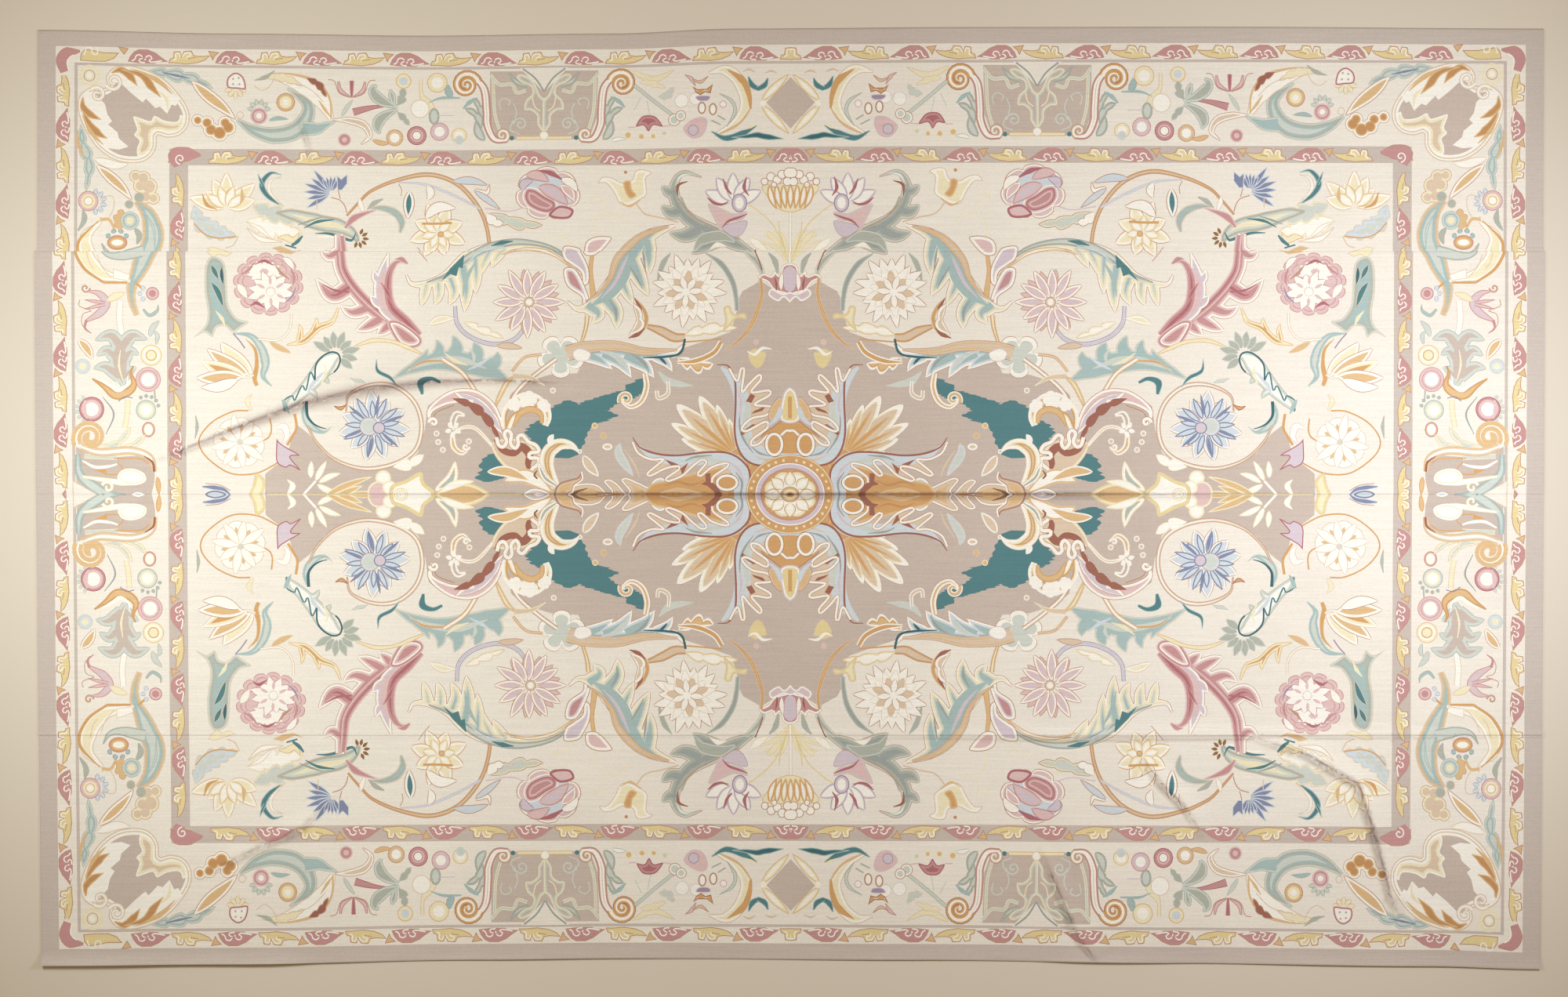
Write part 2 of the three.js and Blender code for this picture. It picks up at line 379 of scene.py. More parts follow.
def block(yarn, *xy):
    """A plain area with straight sides"""
    return [(pairs(xy), yarn)]


def cut(yarns, *xy):
    """A banded area with straight sides"""
    outline = pairs(xy)
    return [(inset(outline, depth), yarn) for depth, yarn in bands(yarns)]


def shape(yarns, *xy):
    """A banded area with a smooth outline"""
    outline = smooth(pairs(xy), closed=True, spacing=2.8)
    return [(inset(outline, depth), yarn) for depth, yarn in bands(yarns)]


def ribbon(path, half):
    """The outline of a ribbon that reaches half its width to either side of a path"""
    _, side = sideways(path)
    return np.vstack([path + side * half[:, None], (path - side * half[:, None])[::-1]])


def taper(yarns, widths, *xy):
    """A ribbon along a smooth path, its width shared out between the given widths, evenly spaced along it"""
    path = smooth(pairs(xy), spacing=3.0)
    along = np.linspace(0, 1, len(path))
    half = np.interp(along, np.linspace(0, 1, len(widths)), widths) / 2
    return [(ribbon(path, np.maximum(half - depth, 0)), yarn) for depth, yarn in bands(yarns)]


def vein(yarns, width, *xy):
    """A ribbon that tapers off towards both ends"""
    return taper(yarns, (1, width, 1), *xy)


def line(yarns, width, *xy):
    """A ribbon of even width along a smooth path"""
    return taper(yarns, (width, width), *xy)


def frayed(yarn, seed, *xy):
    """A patch whose edge is broken up along the rows, as where rows of two yarns run into each other.

    The outline is divided every 3 stitches, and each point moves along its row by a random share of 4.
    """
    outline = divided(pairs(xy), 3.0)
    outline[:, 0] += np.random.default_rng(seed).uniform(-4, 4, len(outline))
    return [(outline, yarn)]


def bud(yarns, width, *xy):
    """A smooth pointed oval along a path"""
    return leaf(yarns, width, 0, *xy)


def leaf(yarns, width, lobes, *xy, sides=(1.0, 1.0), dip=0.5, blunt=0.75):
    """A leaf along a path.

    Its half width is the sine of pi times the place along the path to the power 0.85, raised to blunt. Each
    lobe swells it as the root of a sine and ends in a notch, and the lobes lean forward along the path.
    """
    path = smooth(pairs(xy), spacing=1.9 if lobes else 2.6)
    along = np.linspace(0, 1, len(path))
    reach = width / 2 * np.sin(np.pi * along**0.85) ** blunt
    phase = (along * lobes) % 1.0
    tooth = 1 - dip + dip * np.sqrt(np.sin(np.pi * phase**1.5)) if lobes else 1.0
    lean = 0.35 if lobes else 0.0  # how far an edge is moved along the path, as a share of the half width
    run, side = sideways(path)
    out = []
    for depth, yarn in bands(yarns):
        edges = []
        for hand, share in ((1, sides[0]), (-1, sides[1])):
            half = np.maximum(reach * tooth * share - depth, 0)
            forward = half * lean
            edges.append(path + side * (hand * half)[:, None] + run * forward[:, None])
        out.append((np.vstack([edges[0], edges[1][::-1]]), yarn))
    return out


def merged(count, items):
    """Motifs of count bands each, sorted band by band, so that they run together inside one outline"""
    return [item for k in range(count) for item in items[k::count]]


def tongue(yarns, width, *xy):
    """A finger of a leaf.

    Its half width is full at the root, and 1 less the place along it to the power 2.6, all to the power 0.8.
    """
    path = smooth(pairs(xy), spacing=2.6)
    half = width / 2 * (1 - np.linspace(0, 1, len(path)) ** 2.6) ** 0.8
    return [(ribbon(path, np.maximum(half - depth, 0)), yarn) for depth, yarn in bands(yarns)]


def acanthus(yarns, widths, spine, *fingers):
    """A tapered spine with fingers (width, then places from root to tip) inside one banded outline"""
    items = taper(yarns, widths, spine)
    for width, places in fingers:
        items += tongue(yarns, width, places)
    return merged(len(bands(yarns)), items)


def disc(yarns, x, y, radius, tall=None):
    """A banded round, or an oval with a second radius down the chart"""
    tall = tall or radius
    count = max(12, int(radius * 2))
    angle = np.linspace(0, 2 * np.pi, count, endpoint=False)
    circle = np.stack([np.cos(angle), np.sin(angle)], axis=1)
    sizes = np.array([radius, tall])
    return [((x, y) + circle * np.maximum(sizes - depth, 0.2), yarn) for depth, yarn in bands(yarns)]


def lobed(yarns, *lobes):
    """Rounds (radius, then the middle's place) run together inside one banded outline"""
    rounds = [item for radius, x, y in lobes for item in disc(yarns, x, y, radius)]
    return merged(len(bands(yarns)), rounds)


def bloom(yarns, x, y, radius, count, depth=0.2, turn=0.0, squash=1.0):
    """A scalloped round.

    Its radius is full at the tips of the petals and less by the share depth between them. In between it
    follows the size of the cosine of half their count times the angle, to the power 0.45.
    """
    angle = np.linspace(0, 2 * np.pi, count * 8, endpoint=False)
    wave = np.abs(np.cos(count * angle / 2)) ** 0.45
    rim = radius * (1 - depth + depth * wave)
    turned = angle + np.radians(turn)
    ray = np.stack([np.cos(turned), squash * np.sin(turned)], axis=1)
    return [((x, y) + ray * np.maximum(rim - d, 0.3)[:, None], yarn) for d, yarn in bands(yarns)]


def petals(yarns, x, y, inner, outer, count, width, start=0.0, sweep=360.0, squash=1.0, uneven=0.0):
    """Pointed ovals round a centre, from the inner to the outer radius, starting at an angle in degrees.

    Uneven lengthens and shortens them by the share uneven times the cosine of 2.4 times their number.
    """
    steps = count if sweep == 360.0 else max(count - 1, 1)
    out = []
    for k in range(count):
        angle = np.radians(start + sweep * k / steps)
        ray = np.array([np.cos(angle), squash * np.sin(angle)])
        far = outer * (1 + uneven * np.cos(2.4 * k))
        out += bud(yarns, width, *(ray * inner + (x, y)), *(ray * far + (x, y)))
    return out


def coil(yarns, widths, x, y, radius, turns, start, hand=1):
    """A spiral ribbon: its radius shrinks evenly with the angle, down to 0.15 of the first"""
    along = np.linspace(0, 1, int(14 * turns) + 6)
    angle = np.radians(start) + hand * 2 * np.pi * turns * along
    reach = radius * (1 - 0.85 * along)
    path = np.stack([x + reach * np.cos(angle), y + reach * np.sin(angle)], axis=1)
    half = np.interp(along, np.linspace(0, 1, len(widths)), widths) / 2
    return [(ribbon(path, np.maximum(half - depth, 0)), yarn) for depth, yarn in bands(yarns)]


def mirrored(axis, *groups):
    """The groups of motifs and the same again, turned over about an upright line"""
    ahead = [item for group in groups for item in group]
    return ahead + [(outline * (-1, 1) + (2 * axis, 0), yarn) for outline, yarn in ahead]


def guard(origin, run, across, first, pitch, count):
    """One border strip: a rose half leaf, a yellow half leaf and a gold tip, over and over.

    The repeat is drawn 112 stitches long and 20 deep, and is stretched to the pitch along the run.
    """
    repeat = cut("brown 1.1 rose", "0,17 3,10 8,4 14,1 26,1 36,5 44,11 52,16 38,17 34,19 16,19")
    repeat += line("ivory", 1.7, "5,16 9,14 11,9 16,8 19,12 15,14 15,17 22,18")
    repeat += line("ivory", 1.7, "22,15 24,10 29,9 31,13 27,15 31,17 44,15")
    repeat += line("brown", 1.0, "17,12 21,11 24,13")
    repeat += cut(
        "brown 1.1 yellow",
        "52,18 54,12 58,11 59,3 67,2 69,8 72,2 82,1 85,7 92,8 106,7 100,13 90,17 76,19 62,18",
    )
    repeat += line("ivory", 1.7, "58,14 62,12 61,6 66,5 67,10")
    repeat += line("ivory", 1.7, "70,10 73,5 79,4 81,8 76,9 76,13")
    repeat += line("brown", 1.0, "76,12 82,11 87,10")
    repeat += cut("brown 1.1 gold", "103,1 118,3 112,8 109,14")
    out = []
    for k in range(count):
        for outline, yarn in repeat:
            along = first + pitch * (k + outline[:, :1] / 112)
            out.append((np.array(origin) + along * np.array(run) + outline[:, 1:] * np.array(across), yarn))
    return out


def bands_ground():
    """Plain strips and grounds, each laid over the one outside it"""
    def square(yarn, left, top):
        """From here to beyond the quarter's middle"""
        return block(yarn, left, top, 1010, top, 1010, 640, left, 640)

    return (
        square("band", 40, 34)
        + square("cream", 69, 61)
        + square("band", 93, 81.5)
        + square("cream", 97, 85)
        + square("band", 214, 190)
        + square("cream", 238, 211)
    )


def guard_strips():
    """Strips of half leaves along both edges of the border"""
    out = []
    out = guard((0, 62), (1, 0), (0, 1), 160.7, 111.2, 8)
    out += guard((0, 191), (1, 0), (0, 1), 212, 110.0, 8)
    out += guard((68.5, 0), (0, -1), (1, 0), -671, 97.5, 6)
    out += guard((214.5, 0), (0, -1), (1, 0), -683, 93.5, 5)
    return out


def guard_corners():
    """Where two strips meet: a rose leaf bent round the corner"""
    out = block("cream", "69,61 158,61 158,80 92,80 92,98 69,98")
    out += taper("brown 1.1 rose", (10, 14, 14, 3), "80,94 76,80 82,70 100,67")
    out += line("ivory", 1.6, "92,72 86,76 84,84 86,92")
    out += cut("brown 1.1 yellow", "100,79 101,70 106,64 120,66 130,68 150,68 143,76 132,80 116,80")
    out += line("ivory", 1.6, "105,72 108,63 114,62 116,70 122,70 122,62")
    out += cut("brown 1.1 gold", "148,60 162,62 156,71")
    out += block("band", "214,190 262,190 262,211 238,211 238,222 214,222")
    out += taper("brown 1.1 rose", (12, 22, 18, 3), "226,212 222,200 236,197 254,198")
    out += coil("ivory", (1.6, 1.6), 228, 203, 7, 1.2, 90)
    return out


def guards():
    """The leaf strips and their corners"""
    return guard_strips() + guard_corners()


def corner_disc():
    """Disc in the border's corner with a grey leaf along either side"""
    out = []
    out = disc("straw 4 cream", 112, 98, 14)
    out += disc("brown .9 straw 2.5 ivory", 112, 98, 7.5)
    out += leaf("sage .6 mist 2 sea 2.4 mist", 19, 4, "186,90 215,94 245,100 270,112")
    out += vein("blue", 3, "205,92 225,96 240,99")
    out += leaf("sage .6 mist 2 sea 2.4 mist", 17, 4, "101,160 104,185 112,212 108,246")
    out += vein("gold", 5, "97,168 98,185 106,205")
    return out


def heart_cartouche():
    """Heart shaped cartouche filled with flames"""
    out = shape(
        "tan 1.6 ivory 2 tan 1.6 ivory 3.4 taupe",
        "134,112 133,99 143,87 162,84 184,89 208,101 228,122 239,142 238,160 228,172 213,176 200,173 "
        "198,175 197,190 188,203 172,209 146,206 122,190 105,164 97,140 100,123 113,113 125,113",
    )
    out += shape(
        "ivory 2 straw 3 tan",
        "168,150 176,151 190,155 195,148 208,154 224,155 228,146 233,152 228,166 214,169 198,167 "
        "192,172 192,188 184,198 174,200 173,190 176,180 169,173 173,166",
    )
    out += cut(
        "ivory",
        "135,106 141,90 160,87 190,96 212,111 227,126 222,135 217,133 211,145 202,136 196,138 184,126 "
        "180,131 166,120 152,107",
    )
    out += taper("gold 1.5 ochre", (2, 9, 10, 1), "140,94 152,90 164,98 173,110")
    out += taper("gold 1.5 ochre", (1, 7, 11, 1), "152,89 178,96 192,112 203,124")
    out += vein("gold", 7, "172,90 198,102 218,120")
    out += vein("straw", 5, "200,116 210,126 212,140")
    out += cut(
        "ivory",
        "102,128 108,117 120,122 132,134 135,147 141,156 136,160 148,170 150,178 162,188 150,192 "
        "130,190 113,166 102,146",
    )
    out += taper("gold 1.5 ochre", (2, 9, 9, 1), "104,126 104,138 114,148 127,154")
    out += taper("gold 1.5 ochre", (1, 8, 11, 1), "103,142 112,160 124,172 135,178")
    out += vein("gold", 6, "104,150 114,170 130,186")
    out += coil("tan 1.2 ivory", (6, 4), 143, 105, 11, 1.35, 150, -1)
    out += coil("tan 1.2 ivory", (6, 4), 122, 122, 10, 1.35, 220, 1)
    return out


def corner_buds():
    """Buds and berries beside the cartouche"""
    out = bud("brown 1 ivory 2.6 gold", 17, "242,102 262,120 282,136 299,152")
    out += bud("brown 1 ivory 2.6 gold", 15, "121,212 140,228 155,242 167,257")
    out += bud("tan 1 ivory", 12, "118,204 145,212 163,210")
    out += lobed(
        "brown .7 ivory 2.2 gold 1.6 ochre", (8, 250, 153), (9, 262, 156), (9, 285, 156),
        (10, 267, 165), (11, 278, 169), (10, 289, 162),
    )
    out += lobed(
        "brown .7 straw 2.4 tan", (8, 171, 226), (9, 181, 228), (9, 177, 238), (11, 188, 239),
        (9, 184, 252), (8, 194, 254),
    )
    return out


def corner():
    """The border's corner"""
    return corner_disc() + heart_cartouche() + corner_buds()


def scroll_leaf():
    """Scroll leaf of the long border, curled round a fruit"""
    out = taper(
        "sage .6 mist 2 sage 2.6 sea 2.4 mist", (5, 16, 22, 24, 20, 14, 3),
        "300,152 320,165 345,172 372,167 388,150 389,130 364,111",
    )
    out += taper("sage .6 mist 2 sea", (20, 17, 10, 2), "384,163 402,163 414,158 426,153")
    out += taper("tan 1.2 ivory", (2, 14, 26, 24, 8), "330,96 356,97 388,108 408,126 420,150")
    out += taper("gold", (1, 3, 3, 2), "345,91 376,94 404,104 418,124 420,150")
    out += leaf("brown 1.2 rust", 11, 3, "388,97 404,106 414,122")
    out += leaf("tan 1 straw", 12, 4, "336,96 362,98 384,108")
    out += vein("gold", 4, "404,126 412,138 420,148")
    out += line("tan", 1.1, "362,104 380,106 396,114 410,128")
    out += vein("sage", 6, "322,101 336,97 348,88")
    out += line("tan", 1.1, "322,108 332,114 342,108 348,96")
    out += disc("brown 1.1 gold 3 straw 4 ivory", 362, 129, 12)
    return out


def strawberry():
    """Pink flower and strawberry by the scroll leaf"""
    out = petals("sage 1 mist", 328, 140, 6, 16, 6, 6, 190, 160)
    out += disc("pink 2 rose 2 pink 3.4 ivory", 328, 147, 11)
    out += bud("sage .6 sea", 6, "340,153 352,150 366,151")
    out += petals("brown .6 straw", 298, 110, 4, 16, 5, 7, 20, 140)
    out += shape("deep_rose 1.4 pink 1 ivory", "288,110 288,98 298,91 308,97 311,112 300,112")
    out += disc("sage", 295, 99, 1.4)
    out += disc("sage", 302, 98, 1.4)
    out += disc("sage", 295, 106, 1.4)
    out += disc("sage", 303, 106, 1.4)
    out += disc("tan 1.2 cream", 304, 146, 5)
    return out


def bell_flower():
    """Bell flower and its curled stalk"""
    out = mirrored(
        446,
        taper("rose 1.2 pink", (3, 6, 2), "429,101 432,113 444,121"),
        line("brown", 1.1, "416,99 424,101 430,116 444,122"),
    )
    out += taper("rose 1.2 deep_rose", (6, 5, 3), "446,100 446,110 446,122")
    out += bud("sage .6 mist", 6, "433,147 440,135 448,124")
    out += taper("deep_rose 1 rose", (10, 8, 5, 1), "448,141 462,137 476,134 492,133")
    out += taper("brown .8 ivory 2 tan", (2, 9, 11, 8, 2), "422,151 444,152 462,158 469,172 458,183")
    out += disc("pink 1.6 rose 3.4 pink", 437, 177, 8.5)
    return out


def grey_sprig():
    """Grey leaf sprig and round fruits"""
    out = merged(
        3,
        taper(
            "slate .7 mist 2.4 sage", (5, 9, 14, 16, 13, 3), "505,134 488,128 476,119 473,110 478,105"
        )
        + taper(
            "slate .7 mist 2.4 sage", (5, 9, 13, 16, 13, 3), "504,137 490,144 481,152 479,161 482,169"
        )
        + taper("slate .7 mist 2.4 sage", (5, 8, 10, 3), "500,132 498,122 495,111"),
    )
    out += leaf("mist 1 sage", 14, 2, "504,132 510,122 512,108")
    out += leaf("mist 1 sage", 11, 2, "504,140 512,148 520,158")
    out += disc("gold 1.2 straw 3.4 ice", 512, 100, 10)
    out += disc("gold 1.2 straw 4.4 ivory", 555, 102, 13)
    out += bud("brown .8 gold", 7, "472,177 484,181 496,181")
    out += disc("brown .8 gold 2.2 tan 2 ivory", 501, 174, 11)
    out += taper("tan 1 straw", (5, 5, 12, 10), "534,98 535,118 545,132 550,145")
    out += disc("tan 1 ivory", 533, 136, 12)
    out += disc("slate .8 sage 2 mist", 551, 146, 7, 11)
    out += taper("sea", (1, 4, 2), "544,128 560,122 584,122")
    out += bud("slate .8 sea", 10, "574,122 569,113 569,104")
    out += line("lilac", 1.3, "556,145 576,145")
    out += disc("deep_rose 1.2 rose 3.2 pink 2 deep_rose 1 ivory", 529, 171, 12.5)
    out += disc("rose 1 pink 2.6 lilac 2 ivory", 558, 166, 12)
    out += disc("gold 1 straw 3 ivory", 583, 171, 10)
    out += disc("ice 1.5 mist", 583, 177, 6)
    return out


def flowering_plant():
    """Flowering plant to the right of the cartouche"""
    out = line("sage .8 mist", 5, "806,108 832,130 860,152")
    out += bud("tan .8 straw", 9, "802,89 830,101 858,90")
    out += leaf("tan .7 straw", 10, 3, "812,104 828,106 846,113")
    out += leaf("tan .6 mist", 12, 3, "836,124 848,122 856,112")
    out += line("mist", 1.3, "814,124 806,140")
    out += line("mist", 1.3, "822,128 826,148")
    out += shape(
        "deep_rose 1.6 rose 2.5 deep_rose",
        "808,161 815,149 825,147 834,150 842,162 830,160 824,168 818,160",
    )
    out += line("pink", 1.6, "798,162 808,162")
    out += line("pink", 1.6, "842,162 852,161")
    out += disc("straw 1.5 gold", 798, 172, 5)
    out += disc("straw 1.5 gold", 815, 174, 4.5)
    out += disc("straw 1.5 gold", 830, 174, 4)
    out += disc("straw 1.5 mist", 844, 171, 4)
    out += bud("sea .8 ivory", 6, "776,180 785,177 796,177")
    out += disc("lilac .8 ivory", 866, 130, 9)
    out += disc("lilac .8 ivory", 884, 128, 8)
    out += shape("lilac 1 pink", "868,165 882,153 896,152 899,162 892,176 878,178")
    out += disc("violet 1 lilac", 881, 168, 7)
    out += disc("brown 1 ivory 2 mist", 857, 154, 8)
    out += disc("brown 1 ivory 2 mist", 865, 149, 7)
    out += vein("rose 1 pink", 6, "870,97 878,102 884,112")
    out += taper("brown 1 tan", (2, 5, 1), "880,103 890,107 900,100")
    out += cut("rust 1 orange 2 tan", "880,112 886,116 898,116 906,110 903,122 896,120 890,124 884,120")
    out += shape("lilac 1 violet", "884,125 902,125 900,131 888,131")
    out += disc("brown 2 ivory", 892, 140, 5.5, 8)
    out += disc("brown 2 ivory", 906, 142, 5.5, 8)
    out += disc("pink 1.5 ivory", 919, 136, 5)
    out += line("sage", 2, "904,156 916,162")
    out += line("sage", 2, "912,150 922,156")
    return out


def crescents():
    """Crescents round the diamond in the border's middle"""
    out = taper(
        "tan 1.2 ivory 3 straw", (3, 16, 17, 15, 10, 4),
        "900,96 922,93 940,108 948,136 934,160 908,175",
    )
    out += taper("orange", (1, 9, 7, 3), "924,92 944,106 952,124 954,142")
    out += taper("gold", (1, 3, 3, 1), "954,140 942,158 926,168 908,176")
    out += taper("sage 1 mist", (1, 5, 5, 1), "914,122 930,132 934,146 924,164")
    out += taper("sea 1 teal", (2, 8, 9, 2), "904,170 922,179 944,173 962,163")
    out += taper("sea 1 teal 1 deep_teal", (1, 5, 8, 8, 1), "930,178 948,177 962,175 972,177 996,180")
    out += vein("straw", 4, "946,168 956,164 962,162")
    out += taper("sea 1 teal", (2, 8, 6), "951,101 956,112 965,117")
    out += taper("sea 1 teal", (2, 8, 6), "976,103 972,112 963,117")
    out += cut("taupe", "1006,101 974,134 1006,168")
    out += bud("gold 1.2 straw 2 ivory", 11, "968,132 984,116 1003,98")
    out += bud("gold 1.2 straw 2 ivory", 11, "968,137 984,154 1003,174")
    out += disc("straw .8 ivory", 970, 135, 4.5)
    out += vein("tan", 3, "944,95 952,92 960,96")
    out += vein("tan", 3, "972,97 980,94 988,97")
    return out


def top_border():
    """Motifs of the long border, from the corner to the middle"""
    return (
        scroll_leaf()
        + strawberry()
        + bell_flower()
        + grey_sprig()
        + cartouche_top()
        + flowering_plant()
        + crescents()
    )


def cartouche_top():
    """Cartouche in the long border: a taupe ground between mirrored scrolls"""
    axis = 691
    out = cut("taupe", "622,88 760,88 758,150 750,172 738,177 642,177 630,172 622,150")
    scrolls = (
        taper("slate .6 sage 2 mist", (2, 8, 5), "646,90 656,102 670,108")
        + line("mist", 1.6, "636,138 634,128 640,123 648,127 645,133")
        + line("mist", 1.6, "652,130 656,140 654,150")
        + coil("mist", (2, 2), 661, 157, 9, 1.4, 180, 1)
        + line("mist", 1.6, "652,152 648,164 660,170")
    )
    acanthus = (
        line("straw 1 mist", 4.5, "622,92 634,105 650,105 656,116 668,113")
        + shape(
            "straw 1.6 mist 2 taupe",
            "662,92 676,100 686,120 692,128 692,166 683,158 682,146 674,139 666,138 668,126 676,118 "
            "674,108 664,104 656,96",
        )
        + line("straw", 1.6, "676,122 679,134 686,140")
    )
    leg = (
        taper(
            "brown 1 rose 1.4 ivory 2.6 tan", (9, 11, 11, 11, 10, 7),
            "604,96 615,112 618,140 619,158 628,176 644,178",
        )
        + taper("straw 1 mist", (4, 4, 4), "626,100 628,140 634,164")
        + coil("brown 1 tan 1.2 ivory", (7, 5), 638, 171, 8, 1.2, 60, -1)
    )
    volute = coil("rust .8 orange 2.4 ivory 2.4 tan", (11, 9, 7), 592, 105, 16, 1.7, 350, -1)
    outer = (
        leaf("slate .7 sage 2 mist", 16, 2, "612,162 604,146 590,136", sides=(1, 0.5))
        + leaf("slate .7 sage 2 mist", 14, 2, "614,150 608,136 600,122", sides=(1, 0.5))
        + leaf("slate .7 sage 2 mist", 12, 0, "616,178 608,168 604,152")
        + taper("sea", (2, 6, 2), "588,136 596,128 606,122")
    )
    out += mirrored(axis, outer, scrolls, acanthus, leg, volute)
    out += cut("cream", "660,84 722,84 691,116")
    out += mirrored(axis, line("slate", 2.2, "664,85 680,98 691,115"))
    out += line("gold 1 straw", 5, "656,175 726,175")
    out += disc("tan 1 ivory", 691, 172, 6)
    out += disc("teal", 650, 175, 3)
    out += disc("teal", 732, 175, 3)
    return out


def blue_and_rose_flower():
    """Blue petals round a rose disc, with a curled stalk"""
    out = petals("blue .6 ice", 118, 259, 8, 18, 6, 6, -80, 160)
    out += disc("rose 1 pink 3 straw 3 gold 1.2 ivory", 111, 258, 13)
    out += line("tan", 1.2, "126,253 142,252 143,268 134,282 126,278")
    out += taper("sage", (1, 8, 6, 2), "104,268 106,282 98,296")
    return out


def fruit_scroll():
    """Scroll leaf curled round a flower and fruits"""
    out = taper(
        "tan 2 gold 2 sea 4 mist", (8, 20, 28, 28, 24, 16, 11, 8),
        "172,258 188,276 194,304 186,328 178,348 170,366 170,386 176,404",
    )
    out += taper("sage 2 mist", (2, 8, 14, 16), "128,312 136,324 152,328 182,322")
    out += vein("sea 1 mist", 4, "180,268 194,292 196,320")
    out += disc("tan 1 sage", 176, 253, 7)
    out += disc("tan 1 sage", 163, 262, 6)
    out += taper(
        "tan 1.2 ivory 3 straw", (3, 14, 22, 20, 12, 5),
        "128,284 108,304 112,330 130,350 150,356 168,360",
    )
    out += taper("orange", (1, 4, 4, 3), "124,283 98,312 108,342 134,362")
    out += line("orange", 3, "134,362 164,362")
    out += taper("gold", (4, 4, 2), "126,282 138,282 146,298")
    out += line("tan", 1.1, "126,326 132,342 144,356")
    out += line("tan", 1.1, "112,320 116,336 122,344")
    out += cut("tan .8 ivory", "146,344 168,352 166,360 146,357")
    out += petals("teal .6 sea", 148, 309, 10, 17, 4, 7, 210, 120)
    out += disc("rose 1.2 orange 2 gold 2.4 ivory", 148, 311, 13, 9.5)
    out += leaf("brown .7 gold", 17, 3, "153,296 150,284 154,268", dip=0.6)
    out += disc("sage .8 mist 2 sea 2 mist 2.6 straw", 164, 283, 12)
    out += bud("slate .6 sage", 8, "170,292 176,302 173,314")
    out += line("orange", 3, "174,362 184,370")
    return out


def rose_tulip():
    """Rose tulip"""
    out = coil("brown 1 pink", (2.5, 2), 111, 369, 6, 1.2, 0)
    out += taper("rose 1 pink 2 lilac", (2, 9, 12, 10, 4), "114,373 128,376 137,387 130,400 112,411")
    out += taper("rose", (4, 3, 1), "112,410 110,420 118,427")
    out += taper("rose 1 pink", (1, 5, 4), "110,384 122,386 136,388")
    out += taper("rose 1 pink", (1, 5, 4), "110,396 122,393 136,390")
    out += line("brown", 1, "104,384 103,392 118,398 108,402 106,414 112,424")
    out += bud("tan 1 straw", 10, "138,386 148,380 162,375")
    out += petals("blue .5 ice", 188, 376, 4, 12, 3, 6, 120, 120)
    out += disc("rose 1.4 pink 2.6 rose", 196, 376, 8.5)
    out += taper("sage 1 sea", (3, 5, 5, 1), "184,396 192,404 202,398 203,390")
    return out


def oak_leaf():
    """Grey oak leaf and the round fruits below it"""
    out = line("tan .8 ivory", 8, "155,386 154,410 158,436")
    out += acanthus(
        "slate .7 mist 4 taupe", (6, 24, 28, 16), "158,494 155,474 154,454 156,438",
        (19, "156,446 143,430 122,436"), (17, "152,462 138,449 124,456"),
        (18, "154,482 136,470 120,472"), (19, "156,446 170,430 190,435"),
        (16, "158,464 168,450 179,455"), (14, "158,484 168,474 176,470"),
    )
    out += vein("straw", 3, "158,488 153,468 155,448")
    out += bud("brown .8 ivory 2 gold", 13, "101,434 112,446 120,461")
    out += bud("slate .6 mist", 8, "192,432 196,420 205,410")
    out += bud("slate .6 mist", 6, "198,424 202,430 200,442")
    out += disc("gold 1 straw 2.4 ivory 2.6 gold 2 straw", 194, 455, 13.5)
    out += disc("mist 2.5 ice 3 straw", 107, 469, 10)
    out += disc("rose .9 pink 3 rose .9 pink 2.4 ivory", 190, 486, 16)
    return out


def hook_leaf():
    """Hook leaf and round fruits over the cartouche"""
    out = taper(
        "ochre 1 orange 1.4 gold", (2, 6, 10, 12, 10, 5, 2),
        "119,485 134,495 148,506 164,502 172,492 168,478 171,469",
    )
    out += taper("ivory", (2, 4, 5, 3, 1), "128,486 142,494 152,500 162,494 164,482")
    out += line("blue", 1.2, "152,514 160,508 170,510")
    out += line("tan .8 straw", 7, "164,512 163,530 160,548")
    out += petals("sage .5 mist", 116, 524, 12, 21, 6, 5, 120, 120)
    out += disc("deep_rose 1.2 rose 2.4 pink 3.6 ivory", 118, 524, 16)
    out += taper("pink", (2, 7, 2), "110,512 108,524 112,536")
    out += vein("slate", 2.5, "132,508 146,530 136,556")
    out += line("sage", 2, "198,500 199,514")
    out += petals("slate .5 sage", 188, 522, 12, 18, 5, 5, 240, 110)
    out += disc("sage 1.2 mist 2.4 straw 2.5 ivory", 187, 525, 13)
    out += disc("rose 1.6 gold 1.4 ivory", 190, 550, 8.5, 10)
    out += leaf("tan .8 straw 2 mist", 16, 2, "128,570 150,566 168,546", sides=(1, 0.4))
    out += leaf("tan .8 straw 2 mist", 16, 2, "150,574 168,570 186,556", sides=(1, 0.4))
    return out


def left_border():
    """Motifs of the short border, from the corner to the middle"""
    return (
        blue_and_rose_flower()
        + fruit_scroll()
        + rose_tulip()
        + oak_leaf()
        + hook_leaf()
        + side_cartouche()
    )


